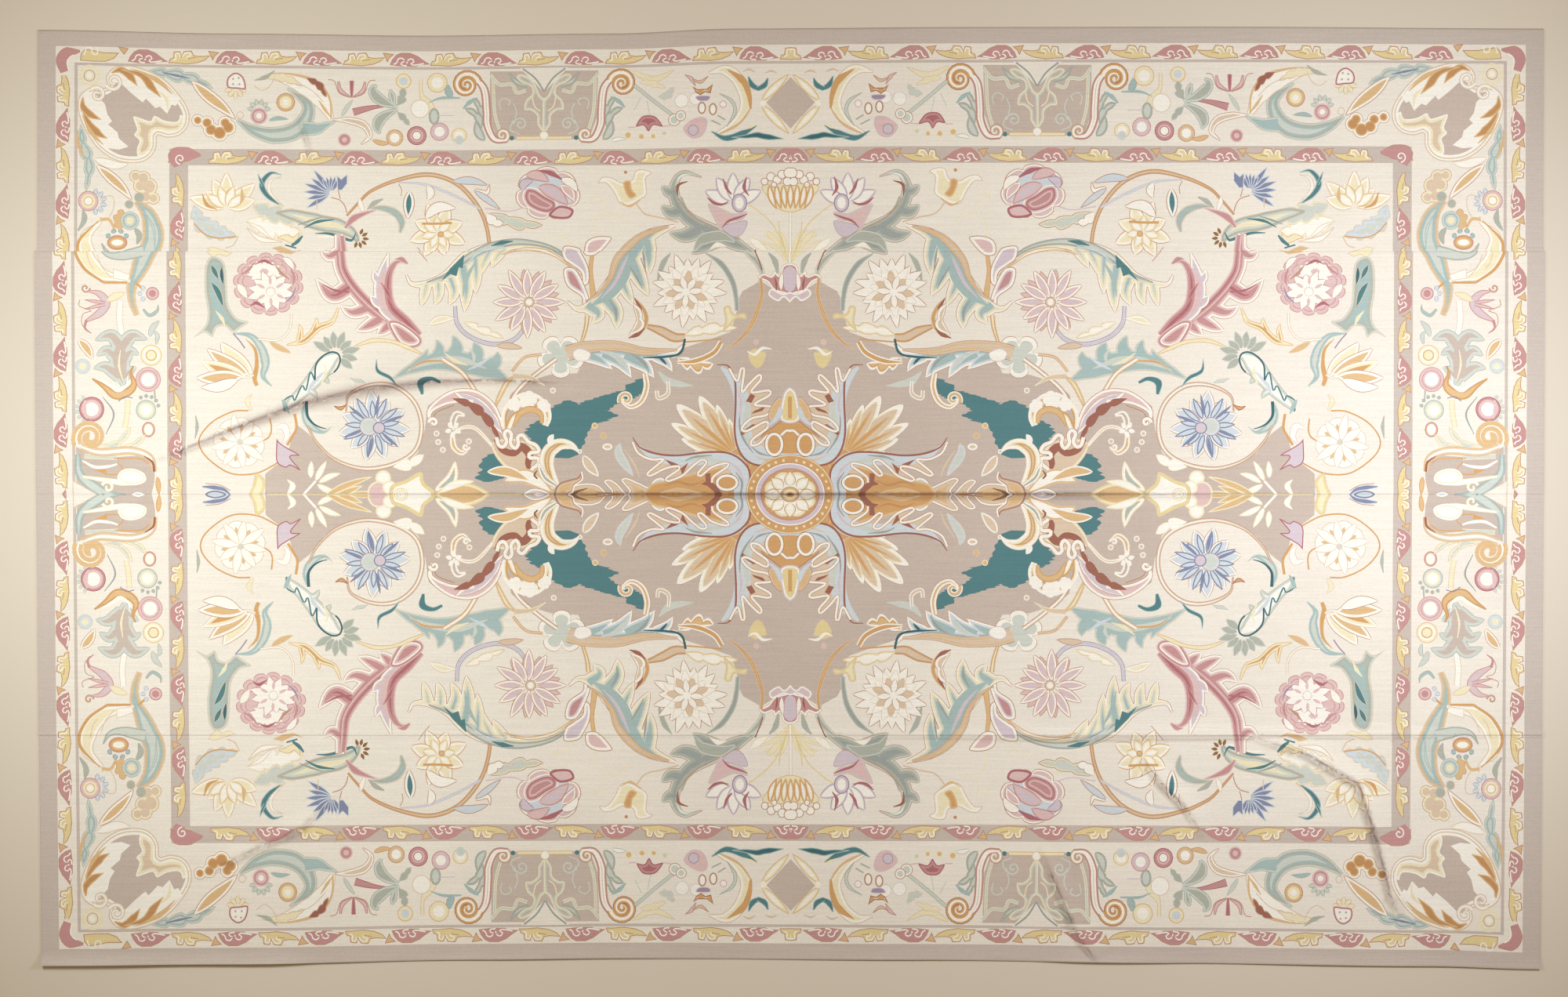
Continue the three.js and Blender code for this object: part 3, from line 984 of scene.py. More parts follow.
def side_cartouche():
    """Half of the cartouche in the middle of the short border"""
    out = cut("taupe", "98,572 120,583 150,585 180,583 192,588 198,600 197,618 191,642 98,642")
    out += taper("slate .8 sea 2 mist", (6, 10, 14, 12, 8), "100,582 102,606 118,622 140,634 166,638")
    out += cut("tan 1.2 cream", "93,615 104,621 140,642 93,642")
    out += line("straw .8 mist", 6, "108,584 150,586")
    out += line("orange", 1.6, "146,587 178,587 190,594")
    out += taper("ivory", (2, 4, 4, 2), "106,590 122,598 140,597 150,594")
    out += cut("orange", "120,601 136,601 136,608")
    out += line("orange", 1.6, "134,607 150,607 157,600 150,592")
    out += taper("straw 1 ivory", (3, 6, 8, 6), "106,610 130,614 158,618 180,616")
    out += shape("ivory 2 straw 1.5 ivory", "150,612 156,602 170,600 184,606 186,616 174,621 160,620")
    out += shape("ivory 1.5 ice", "164,636 176,630 188,636 178,642 166,642")
    out += coil("straw 1 ivory", (4, 3), 138, 624, 8, 1.1, 200, 1)
    out += vein("slate", 3, "130,632 146,638 160,632")
    out += taper("gold 1.5 tan 2 ivory", (9, 11, 11, 10, 7), "104,572 128,579 168,577 192,586 197,604")
    out += taper("rust", (1, 3, 3), "184,584 195,592 197,604")
    out += coil("tan .8 gold 5 ivory", (14, 12, 8), 116, 560, 19, 1.3, 150, 1)
    out += bud("orange 1 gold", 7, "201,610 202,620 203,634")
    return out


def medallion():
    """Stepped taupe ground of the field, with two teal patches that have frayed edges"""
    out = block(
        "taupe",
        "1012,376 985,371 968,360 945,373 939,385 938,398 930,425 900,436 872,445 860,458 800,466 "
        "742,463 735,478 700,480 668,490 650,505 641,540 625,540 600,515 565,505 545,520 541,550 "
        "532,580 512,596 470,601 440,597 412,580 394,556 380,545 372,560 366,585 345,601 338,607 "
        "338,642 1012,642",
    )
    out += frayed(
        "teal", 1,
        "667,553 676,543 690,537 700,530 704,521 714,514 728,512 735,518 747,513 765,507 780,503 "
        "792,500 802,491 814,485 824,482 824,500 800,514 788,517 774,526 786,532 770,540 757,544 "
        "748,553 744,560 746,568 738,580 722,587 706,586 690,592 686,575 676,566",
    )
    out += frayed(
        "teal", 2,
        "606,612 613,601 612,592 621,582 631,579 642,592 654,600 662,606 640,612 625,617 612,617",
    )
    return out


def lily():
    """Lily and feather leaf"""
    out = leaf("tan .6 mist 2 ice 4 mist", 30, 5, "245,262 254,282 272,294 300,303", sides=(1, 0.8))
    out += line("orange", 1.8, "246,286 258,299 275,305 300,303")
    out += line("tan", 1.6, "302,303 296,314 286,318")
    out += petals("gold 1.1 ivory 3 straw", 287, 266, 2, 41, 7, 19, 196, 148, uneven=0.22)
    out += petals("gold 1.1 straw 1.5 ivory", 287, 266, 2, 30, 4, 13, 215, 110)
    out += vein("orange", 5, "256,248 262,262 275,268")
    out += vein("gold", 5, "306,240 307,252 304,262")
    out += cut("tan .8 straw", "262,318 270,316 282,320 298,324 290,329 280,326 274,330 268,326")
    return out


def sickle():
    """Sickle"""
    out = taper("sea 1.2 teal", (1, 6, 8, 6, 1), "357,223 343,221 332,235 339,250 359,265")
    out += taper("sea 1 teal", (1, 4, 4), "327,222 330,230 334,238")
    out += taper("tan .8 ivory", (1, 4, 5, 3, 1), "357,226 344,230 341,243 350,255 360,264")
    return out


def cornflower():
    """Cornflower"""
    out = petals("ice 1.4 blue", 421, 246, 3, 36, 6, 8, 148, 84, uneven=0.08)
    out += petals("ice 1 blue", 421, 246, 3, 22, 5, 6, 236, 60)
    out += cut("ice 1 blue", "428,243 427,223 433,228 441,221 441,234 434,243")
    out += line("brown", 1.3, "420,252 432,256 438,264 440,272")
    out += line("tan", 1.2, "402,254 402,268")
    out += line("brown", 1.2, "429,243 432,254")
    return out


def crested_leaf():
    """Long grey leaf with a crest"""
    out = leaf("tan .6 straw 2 ivory", 34, 4, "312,282 334,288 356,292 384,300", sides=(1, 0.8))
    out += vein("tan .8 ivory", 7, "312,284 328,292 346,308")
    out += taper("tan 1.2 ivory", (2, 8, 2), "313,292 330,306 358,310")
    out += leaf("tan .6 straw 1.6 mist", 30, 4, "318,262 340,272 362,278 392,282", sides=(0.8, 1))
    out += taper(
        "tan .9 sage 3 mist 3 straw", (4, 14, 18, 22, 22, 20, 15, 6),
        "350,272 372,275 392,281 410,286 428,289 442,295 451,303 454,310",
    )
    out += vein("slate", 3, "378,288 392,283 408,278")
    out += vein("teal", 4, "386,292 402,284 424,281")
    out += taper("teal", (1, 3, 4, 4, 1), "400,299 416,299 432,303 446,308 452,298")
    out += line("ivory", 1.8, "404,303 420,303 434,308 446,311")
    out += taper("gold 1 straw", (2, 9, 8, 2), "352,305 362,304 372,308 380,298")
    out += taper("teal", (2, 5, 3), "384,302 378,309 370,315")
    out += line("teal", 2, "362,314 376,318")
    out += cut("tan .8 gold", "344,318 356,315 372,322 384,320 372,326 358,324")
    out += petals("straw .8 umber", 455, 305, 5, 14, 6, 6, -65, 175)
    return out


def lotus_ring():
    """Ring stem with a lotus"""
    out = taper(
        "brown .8 orange 1.2 tan", (3, 4, 5, 6, 6, 6, 5, 5),
        "440,276 456,258 472,243 505,229 545,222 580,234 606,262 618,290 623,322",
    )
    out += taper("lilac .8 ice", (2, 4, 4, 3), "506,232 540,235 578,250 610,267")
    out += petals("orange 1.2 ivory 3.4 straw", 556, 296, 4, 36, 8, 19, 25, 360, uneven=0.1)
    out += petals("gold 1.1 straw 2 ivory", 556, 298, 2, 22, 7, 12, 10)
    out += disc("ochre 1 gold", 560, 300, 4)
    out += line("orange", 3, "536,286 556,286 574,285")
    out += line("brown", 1, "530,317 545,335")
    out += bud("brown 1.1 ivory 3 teal", 15, "520,243 519,262 518,281")
    out += bud("brown 1 ivory", 15, "540,279 556,265 580,266")
    out += bud("brown .9 ivory", 11, "543,236 547,246 543,256")
    out += line("brown", 1, "506,234 510,242 509,250")
    out += taper(
        "tan .6 mist 1 sage 2 sea", (3, 8, 11, 11, 4), "468,266 486,266 502,272 510,284 508,298"
    )
    out += taper("sage", (1, 7, 2), "466,268 474,260 486,254")
    out += taper("tan .8 ivory", (2, 8, 2), "456,252 458,262 462,272")
    out += taper("pink 1.4 rose", (4, 10, 6, 2), "438,292 448,280 460,274 478,268")
    return out


def loose_leaves():
    """Loose leaves right of the ring"""
    out = bud("brown 1 ice", 11, "574,231 598,230 620,236")
    out += bud("brown 1 ivory", 7, "602,241 618,246 622,234")
    out += bud("brown 1 ice", 9, "602,243 618,254 636,268")
    out += leaf("brown 1 straw 1.4 mist", 24, 3, "622,272 652,282 690,288", sides=(1, 0.5))
    out += leaf("brown 1 ivory", 15, 2, "617,272 628,284 640,286")
    out += line("lilac", 1.6, "616,266 648,270 672,262")
    return out


def layered_rose():
    """Layered rose"""
    out = bloom("brown 1.2 ivory 2.4 pink 5 ice", 696, 247, 42, 7, 0.16, 10, squash=0.84)
    out += shape(
        "ivory 1.5 pink 2 deep_rose 1.4 rose 2.2 pink 2 rose",
        "664,252 668,240 680,240 694,249 706,256 708,266 698,274 684,272 670,264",
    )
    out += bud("rose 1.4 pink", 14, "668,223 684,224 698,232")
    out += bud("violet 1.2 lilac", 12, "664,244 666,234 678,230")
    out += bud("rose 1.4 pink 3 lilac", 18, "684,238 704,246 722,262")
    out += bud("rose 1.2 ivory 2 pink", 14, "712,236 724,246 730,258")
    out += bud("brown 1 ivory", 12, "712,228 726,234 734,246")
    out += taper("deep_rose", (1, 7, 2), "684,217 700,221 714,229")
    out += shape("deep_rose 3 pink", "697,275 708,264 720,264 729,269 724,279 708,280")
    return out


def tulip_and_acanthus():
    """Tulip, tendrils and grey acanthus"""
    out = shape(
        "tan 1.2 ivory 3 straw",
        "760,234 766,226 778,227 790,233 803,230 808,218 820,217 829,222 821,228 822,248 813,256 "
        "800,263 788,261 780,246 770,234",
    )
    out += shape("gold 2 orange", "792,233 801,231 803,242 809,250 801,254 795,246")
    out += disc("ochre", 795, 220, 2.2)
    out += vein("gold", 3, "788,258 800,264 814,256")
    out += line("tan", 2, "808,260 820,274 840,279 862,285")
    out += line("straw", 1.6, "764,268 766,256 758,250 750,254 753,258")
    out += line("straw", 1.6, "756,302 755,288 762,276 778,273 792,280 794,286")
    out += line("straw", 1.6, "700,302 712,302 722,308 728,318")
    out += acanthus(
        "brown .8 mist 2 sage 3.4 slate", (2, 8, 15, 17, 20, 22, 18, 4),
        "892,228 870,222 858,234 858,256 874,280 904,297 934,312 960,324",
        (17, "860,246 850,246 840,238"), (20, "866,270 852,272 840,263"),
        (22, "890,294 870,302 850,298"), (20, "916,306 896,316 880,326"),
    )
    out += taper("mist 1.2 ivory", (1, 4, 4, 1), "880,224 866,226 858,238")
    out += taper("sage", (1, 5, 5, 1), "866,252 874,272 896,290")
    out += vein("rust", 4, "874,233 862,238 861,252")
    out += line("brown", 1.2, "862,254 880,276 910,293 940,307")
    out += taper("mist 1.4 sage", (3, 14, 14, 3), "882,322 892,308 915,303 934,310")
    out += taper("tan .8 ivory", (2, 8, 2), "902,320 912,314 924,316")
    return out


def iris():
    """Iris"""
    out = petals("violet .7 lilac 1.6 ivory", 932, 262, 4, 40, 5, 17, 205, 130)
    out += taper("deep_rose", (1, 4, 3, 1), "899,254 908,261 918,263 926,259")
    out += taper("deep_rose", (1, 4, 2), "919,230 924,243 930,250")
    out += vein("deep_rose", 5, "949,228 946,242 952,252")
    out += shape(
        "tan 1 lilac 2 pink", "900,262 918,268 932,274 950,272 944,282 928,286 916,296 908,282"
    )
    out += shape("violet .6 lilac", "918,292 932,286 950,284 944,300 932,304")
    out += disc("violet 1.6 lilac 3 ivory", 940, 261, 10, 12)
    out += taper("deep_rose", (1, 3, 3, 1), "918,292 926,284 940,279 950,275")
    return out


def field_far():
    """Motifs along the far edge of the field"""
    return (
        lily()
        + sickle()
        + cornflower()
        + crested_leaf()
        + lotus_ring()
        + loose_leaves()
        + layered_rose()
        + tulip_and_acanthus()
        + iris()
    )


def bowl_of_berries():
    """Bowl of buds and berries over a fan of yellow stalks"""
    out = []
    for x, y in ((962, 312), (975, 306), (988, 300)):
        out += taper("yellow .6 straw", (2, 5, 2), 1004, 336, (x + 1004) / 2, y + 4, x - 4, y - 4)
    out += line("yellow", 1.6, "1002,330 985,292 965,272 950,262")
    out += line("yellow", 1.6, "998,320 992,300 990,284")
    out += line("tan .8 ivory", 4, "1005,270 1005,336")
    out += bud("yellow .8 straw", 8, "974,296 984,306 994,318")
    out += bud("yellow .8 ivory", 10, "954,306 964,314 976,322")
    out += shape("gold 1 straw", "972,238 978,256 988,268 1005,273 1022,268 1032,256 1038,238")
    for x in (978, 987, 996, 1005):
        inward = 1005 - x
        out += bud("orange 1.2 gold 1.2 ivory", 9, x, 238, x + inward * 0.1, 254, x + inward * 0.35, 269)
    for x, y, radius in (
        (972, 234, 5), (980, 228, 6), (988, 232, 6), (994, 225, 6), (1003, 223, 7), (1001, 234, 6),
        (984, 238, 4),
    ):
        out += disc("brown 1.1 ivory", x, y, radius)
    return out


def rose_mask():
    """Rose and lilac mask of petals over the medallion's top"""
    out = taper("tan .8 mist 2 sage", (6, 10, 8, 4), "948,322 962,334 970,350 966,362")
    out += line("rust", 1.6, "960,320 966,334 970,346")
    out += taper("sage", (2, 8, 3), "978,324 986,334 990,350")
    out += shape(
        "tan .8 ivory 2 rose",
        "964,356 972,350 982,353 985,346 992,352 996,340 1008,340 1008,376 996,376 984,372 976,362",
    )
    out += shape("rose 1 lilac", "997,345 1009,341 1009,372 999,372 996,358")
    out += bud("rose .8 ivory", 7, "994,372 994,360 996,348")
    out += vein("rust", 3, "986,356 988,364 988,372")
    out += shape("ivory 2 lilac 2 pink", "982,370 996,376 1010,374 1010,392 998,381 990,386 978,378")
    return out


def field_top_centre():
    """Motifs over the medallion"""
    return bowl_of_berries() + rose_mask()


def column_leaf():
    """Column leaf"""
    out = shape(
        "tan .7 mist 2 sage 4 sea",
        "262,372 263,342 270,329 282,331 289,342 291,372 293,392 304,408 318,412 308,420 298,426 "
        "288,418 277,420 272,432 262,426 248,432 262,418 266,400",
    )
    out += bud("tan .8 teal", 7, "271,340 275,348 280,358")
    out += bud("tan .8 teal", 8, "271,362 279,374 286,394")
    out += bud("tan .8 deep_teal", 6, "284,342 284,352 286,366")
    out += vein("straw", 5, "276,398 284,408 288,418")
    return out


def peony():
    """Peony"""
    out = bloom("rose 1.1 pink 4.5 rose 1.2 pink", 343, 364, 45, 14, 0.13, 8, squash=0.9)
    out += bloom("rose 1 pink", 342, 362, 32, 11, 0.16, 20, squash=0.9)
    out += merged(2, petals("rose .8 ivory", 338, 348, 5, 24, 13, 9, 190, squash=0.6))
    out += merged(2, petals("rose .9 ivory", 346, 373, 5, 29, 12, 12, 10, squash=0.85, uneven=0.1))
    out += petals("pink", 346, 373, 8, 20, 6, 4, 28)
    out += disc("tan .7 ivory", 346, 374, 6)
    out += vein("rose", 4, "308,352 318,346 326,336")
    out += vein("rose", 4, "372,344 376,356 374,366")
    out += vein("deep_rose", 4, "328,338 338,334 350,340")
    out += vein("brown", 4, "352,340 360,350 370,358")
    out += vein("deep_rose", 5, "320,392 328,388 338,394")
    out += vein("violet", 3, "378,368 373,380 364,388")
    out += bud("tan .8 ivory", 10, "304,364 310,372 316,382")
    out += bud("rose .8 ivory", 9, "362,330 370,336 376,346")
    return out


def tulip_and_stems():
    """Tulip and the stems round it"""
    out = taper(
        "mist .8 sea 2.6 mist", (2, 7, 11, 13, 8, 2), "298,427 320,430 334,446 339,466 336,482 347,495"
    )
    out += taper("gold .8 orange", (1, 4, 5, 7, 5), "314,434 326,448 328,468 325,484 328,494")
    out += line("violet", 1.8, "298,427 306,436 313,446")
    out += line("tan .8 ivory", 3, "302,483 316,484 324,480")
    out += bud("brown .9 ivory 3 straw", 22, "322,478 296,456 282,438")
    out += bud("brown .9 ivory 3 gold", 19, "318,480 286,462 264,446")
    out += bud("tan .9 ivory 2 straw 3 orange", 20, "314,482 284,474 256,462")
    out += bud("brown .9 ivory 3.4 gold", 20, "310,482 278,484 250,484")
    out += bud("brown .9 ivory", 15, "304,486 280,495 256,496")
    out += line("tan .9 ivory", 3.4, "372,401 371,418 364,430 352,436 330,434")
    out += acanthus(
        "gold 1 straw 2 orange", (2, 9, 9, 7, 3), "366,442 388,436 406,420 424,412 432,394",
        (8, "382,436 384,424 382,414"), (8, "400,424 404,414 404,406"),
    )
    out += bud("tan .7 gold", 8, "344,438 358,446 372,452")
    return out


def rose_branches():
    """Rose acanthus branches"""
    out = acanthus(
        "brown .7 ivory 2.6 pink 2.6 rose 4.2 deep_rose", (12, 16, 16, 18, 18, 18, 14, 6),
        "430,300 432,324 434,344 446,366 462,386 478,402 494,412 510,422",
        (18, "432,322 420,328 409,321"), (24, "446,368 424,378 403,356"),
        (20, "470,394 450,400 434,391"), (20, "486,408 468,418 453,424"),
        (20, "500,412 490,422 480,430"),
    )
    out += taper(
        "pink 2 rose 2.2 deep_rose", (8, 9, 10, 10, 10, 8),
        "434,302 437,326 440,346 452,366 470,386 494,408",
    )
    out += taper("deep_rose", (1, 3, 2), "412,364 428,372 446,374")
    out += acanthus(
        "brown .7 ivory 2.6 lilac 3 pink", (3, 12, 18, 20, 20, 16, 8),
        "496,324 492,338 488,354 486,372 492,394 508,410 524,420", (14, "488,362 480,356 477,345"),
        (16, "488,390 480,386 472,378"),
    )
    out += taper(
        "pink 1.8 rose 3 deep_rose", (2, 9, 12, 13, 14, 14, 12),
        "520,336 506,336 497,350 495,372 500,394 518,412 534,430",
    )
    out += taper("pink 1 rose", (1, 8, 3), "504,332 512,332 520,338")
    out += taper("rose 1.2 deep_rose", (1, 6, 2), "486,362 494,374 500,388")
    out += shape(
        "pink 1.4 rose 2.4 ivory 2 pink 2.4 rose",
        "494,414 506,410 524,420 538,434 534,444 520,446 506,438",
    )
    out += taper("gold 1 straw", (3, 6, 5, 6, 2), "452,444 476,436 502,438 522,446 542,455")
    return out


def field_left():
    """Motifs along the end of the field"""
    return column_leaf() + peony() + tulip_and_stems() + rose_branches()


def fan_and_acanthus():
    """Grey fan flower and the acanthus under it"""
    out = petals("mist 1.2 sage", 428, 454, 8, 30, 8, 11, -150, 190, uneven=0.1)
    out += acanthus(
        "sage 1 mist 2.6 ivory", (5, 13, 16, 19, 22, 24, 22, 10),
        "364,526 372,516 384,505 396,492 406,480 414,468 422,460 430,455",
        (9, "396,500 402,504 406,511"), (9, "410,484 416,486 421,492"),
    )
    out += taper("ice", (1, 5, 5, 1), "414,476 406,484 398,494 393,506")
    out += vein("straw", 4, "414,468 416,478 410,494")
    out += line("teal", 2, "364,527 364,513 374,507 377,513 386,494 391,500 396,477 402,487")
    out += line("deep_teal", 2.2, "402,487 403,468 411,457 422,451 431,453 434,461 431,471 426,477")
    out += line("sage", 1.4, "414,488 420,481 426,477")
    out += taper("sea", (4, 6, 1), "362,512 365,520 370,530")
    out += taper(
        "mist 1.2 sea 2.4 mist", (3, 8, 12, 10, 5, 1),
        "390,516 388,530 394,543 404,551 414,553 423,546",
    )
    out += taper("deep_teal", (4, 3.6, 3, 2, 1), "392,514 392,532 399,542 408,547 416,549")
    return out


def wheel_flower():
    """Wheel flower in its ring"""
    out = line(
        "orange", 2, "318,526 298,527 272,540 256,560 258,578 276,596 298,607 326,606 348,596 366,584"
    )
    out += line("orange", 2, "345,536 346,552 340,562 320,569")
    out += taper("tan .7 straw", (1, 8, 2), "322,505 316,514 322,526")
    out += bloom("tan 1 ivory", 305, 567, 33, 8, 0.16, 12)
    out += petals("tan 1 gold", 305, 567, 6, 25, 8, 8, 12)
    out += petals("tan .9 ivory", 305, 567, 3, 36, 8, 12, 35, uneven=0.1)
    out += disc("tan .8 mist", 306, 566, 4)
    out += vein("sage", 5, "250,532 252,546 250,562")
    return out


def blue_flower():
    """Blue flower in its ring"""
    out = taper(
        "brown .9 tan 1.2 ivory", (2, 5, 6, 6, 6, 6, 6, 5, 4, 3),
        "441,527 446,506 474,493 504,495 528,515 537,545 529,576 502,594 464,600 428,589 404,567 "
        "392,545",
    )
    out += petals("brown .9 ivory 2 ice", 476, 546, 8, 44, 11, 19, 5, uneven=0.08)
    out += petals("blue 1.6 ice", 476, 546, 10, 38, 13, 8, 18, uneven=0.12)
    out += petals("blue", 476, 546, 14, 42, 6, 4, 40)
    out += disc("brown .9 ice 3 mist", 470, 546, 12)
    out += disc("blue 1.5 lilac", 483, 548, 8)
    out += vein("rust 1 orange", 6, "426,520 434,523 442,518")
    out += cut("sage .6 mist", "446,484 462,486 468,491 454,490")
    out += line("orange", 3.4, "376,530 378,548 372,560 366,570")
    out += shape(
        "deep_rose 1.4 lilac",
        "354,542 351,556 356,566 366,573 382,583 370,585 383,602 370,596 364,599 353,592 352,574",
    )
    out += taper("pink .8 ivory", (4, 10, 8, 2), "352,548 362,546 366,558 360,568")
    out += taper("ice 1 blue", (3, 7, 6, 2), "258,623 272,624 286,627 296,636")
    out += line("brown", 1, "262,619 280,621 294,628")
    out += shape("blue 2 ice", "262,632 274,628 288,632 288,642 262,642")
    return out


def middle_sprays():
    """Leaf sprays along the middle"""
    out = []
    for places in (
        "396,612 396,602 397,590", "402,616 408,604 416,590", "406,618 420,610 434,606",
        "404,620 414,626 430,632",
    ):
        out += bud("straw 1.1 ivory", 8, places)
    for places in ("412,636 440,622 474,610", "420,640 446,628 462,622", "430,642 452,634 478,630"):
        out += bud("straw 1.4 gold", 9, places)
    out += line("yellow .8 ivory", 4, "340,634 1010,634")
    out += line("ivory", 3, "386,634 402,616")
    out += shape("tan .8 yellow 3 straw", "326,606 336,612 338,622 330,640 314,642 322,622")
    out += taper("straw .8 ivory", (1, 9, 2), "366,614 373,622 366,634")
    out += disc("straw 2.4 ivory", 488, 612, 10)
    out += disc("straw 2.4 pink", 482, 630, 14)
    out += disc("straw 2 ivory", 496, 624, 9)
    out += shape(
        "tan 1 yellow 4 ivory", "498,640 498,622 516,614 536,604 541,618 554,630 546,642 520,642"
    )
    out += coil("yellow 1 ivory", (4, 3), 512, 634, 9, 1.1, 180)
    out += bud("straw 1.5 ivory 2.6 gold 1 sea", 15, "554,628 574,614 580,590")
    out += leaf("straw .8 ivory", 16, 2, "500,598 522,594 540,582")
    out += bud("yellow 2 straw 2.6 gold", 25, "552,636 592,630 628,636")
    out += bud("straw 1.5 ivory", 10, "560,630 580,620 604,616")
    return out


def field_lower_left():
    """Motifs between the end of the field and its middle row"""
    return fan_and_acanthus() + wheel_flower() + blue_flower() + middle_sprays()


def daisy():
    """Daisy on a lilac stem"""
    out = taper(
        "violet .9 ice 1 lilac", (5, 6, 6, 6, 6, 5), "580,392 583,415 600,432 630,441 656,434 672,414"
    )
    out += leaf("tan .8 straw 1.6 ivory", 18, 3, "590,412 612,424 642,434", sides=(0.4, 1))
    out += bud("brown .9 tan", 9, "632,443 648,443 666,446")
    out += bud("tan .9 ivory 2 straw", 11, "546,416 562,409 580,408")
    out += petals("brown 1 pink", 672, 386, 6, 42, 13, 12, 14)
    out += petals("brown 1 ivory 2.2 pink 2 lilac", 672, 387, 6, 46, 12, 14, 0, uneven=0.06)
    out += disc("brown 1 tan 2 ivory", 674, 387, 7)
    return out


def arching_acanthus():
    """Arching teal and straw acanthus"""
    out = acanthus(
        "brown .8 ivory 1.6 straw 3 mist 2 sea", (3, 6, 9, 12, 18, 22, 16, 10, 3),
        "742,352 706,322 664,313 622,320 594,334 570,354 548,363 526,364 518,352",
        (15, "642,318 633,330 625,344"), (16, "624,322 616,338 611,355"),
        (18, "606,330 607,354 606,378"), (22, "590,340 594,370 592,401"),
        (18, "574,356 579,374 572,392"), (16, "559,362 559,378 554,392"),
        (15, "544,364 541,378 537,393"),
    )
    out += taper(
        "slate 1 sage 1.4 mist", (2, 5, 7, 10, 10, 5, 2),
        "742,350 706,320 664,310 626,315 596,330 572,350 544,362",
    )
    out += taper("sea", (1, 5, 4, 1), "606,336 598,350 592,366 590,380")
    out += vein("ice", 3, "640,316 614,322 596,336")
    out += taper("tan .8 gold 1 ivory", (2, 5, 6, 4, 2), "640,326 668,319 700,324 722,338 742,354")
    out += cut("teal", "592,326 590,344 585,342 582,354 574,351 562,361 574,344")
    out += vein("teal", 6, "624,315 638,311 652,309")
    return out


def three_petal_bud():
    """Bud with three petals"""
    out = taper("orange 1 gold", (5, 6, 7, 9), "755,322 752,346 754,366 757,388")
    out += shape("brown 1.1 ivory 3.6 pink", "743,324 745,310 758,303 777,304 772,314 760,326 750,328")
    out += shape(
        "brown 1.1 ivory 3 lilac",
        "716,316 734,317 742,326 750,344 750,362 742,366 740,350 728,340 718,332",
    )
    out += shape(
        "brown 1.1 ivory 3 lilac 2 rose", "718,345 732,344 744,364 752,390 742,390 740,380 722,366"
    )
    return out


def second_acanthus():
    """Second acanthus"""
    out = acanthus(
        "brown .8 ivory 1.6 straw 2.4 mist 2 sea", (4, 16, 28, 28, 26, 12, 3),
        "858,289 826,302 800,330 786,360 764,384 738,396 722,386", (22, "822,308 826,330 826,353"),
        (24, "802,330 814,356 826,380"), (18, "790,356 799,376 806,392"),
        (24, "770,380 784,400 785,422"), (22, "748,390 762,402 754,415"),
    )
    out += taper(
        "brown .7 tan .8 gold 1.6 tan", (3, 8, 11, 9, 5, 2),
        "850,290 814,303 787,330 777,356 762,376 746,386",
    )
    out += taper("sea", (1, 6, 7, 5, 1), "818,314 804,336 796,358 778,380 752,392")
    out += taper("lilac", (1, 5, 4, 1), "800,326 792,344 782,364 766,382")
    out += vein("slate", 3, "802,342 812,358 818,370")
    out += vein("slate", 4, "776,384 784,398 784,412")
    out += vein("slate", 3, "818,318 820,332 822,346")
    out += taper("tan .8 orange 1.2 straw", (5, 6, 7), "740,440 746,420 748,404")
    return out


def chrysanthemum():
    """Chrysanthemum in its ring"""
    out = taper("mist .8 sage 1.4 slate", (2, 8, 8, 7, 6), "898,324 918,338 932,360 937,382 938,398")
    out += taper("mist .8 sage", (2, 8, 7, 2), "854,324 845,336 840,350 837,362")
    out += merged(2, petals("brown 1 ivory", 876, 372, 8, 45, 19, 14, 4, uneven=0.12))
    out += merged(2, petals("tan .7 ivory", 875, 373, 6, 33, 13, 12, 15, uneven=0.1))
    out += petals("gold 1 tan", 874, 374, 10, 26, 7, 10, 20, uneven=0.1)
    out += merged(2, petals("brown .7 ivory", 874, 374, 3, 22, 7, 9, 46))
    out += disc("ivory", 873, 374, 5)
    return out


def twigs():
    """Twigs under it"""
    out = taper("tan 1 orange", (2, 5, 6, 6, 4), "806,380 818,394 823,408 818,422 806,432")
    out += taper("rust", (1, 5, 3), "808,382 815,396 812,406")
    out += taper("rust", (1, 6, 2), "800,433 812,428 820,420")
    out += leaf("brown .8 ivory 3 tan", 20, 2, "800,430 812,412 806,388", sides=(1, 0.3))
    out += taper("brown 1 orange 1.6 tan", (6, 12, 13, 10), "824,418 842,424 858,432 872,432")
    out += leaf("gold 1 straw 1.6 ivory", 20, 3, "870,430 896,424 940,420", sides=(0.6, 1))
    out += line("orange", 2, "872,438 896,436 918,434")
    out += shape(
        "tan 1 yellow 2 straw",
        "921,394 929,392 934,402 948,401 950,409 938,408 929,417 920,424 923,410",
    )
    out += taper(
        "tan .8 orange 1.4 gold", (4, 5, 6, 6, 4, 2), "968,356 969,380 956,416 938,438 922,448"
    )
    return out


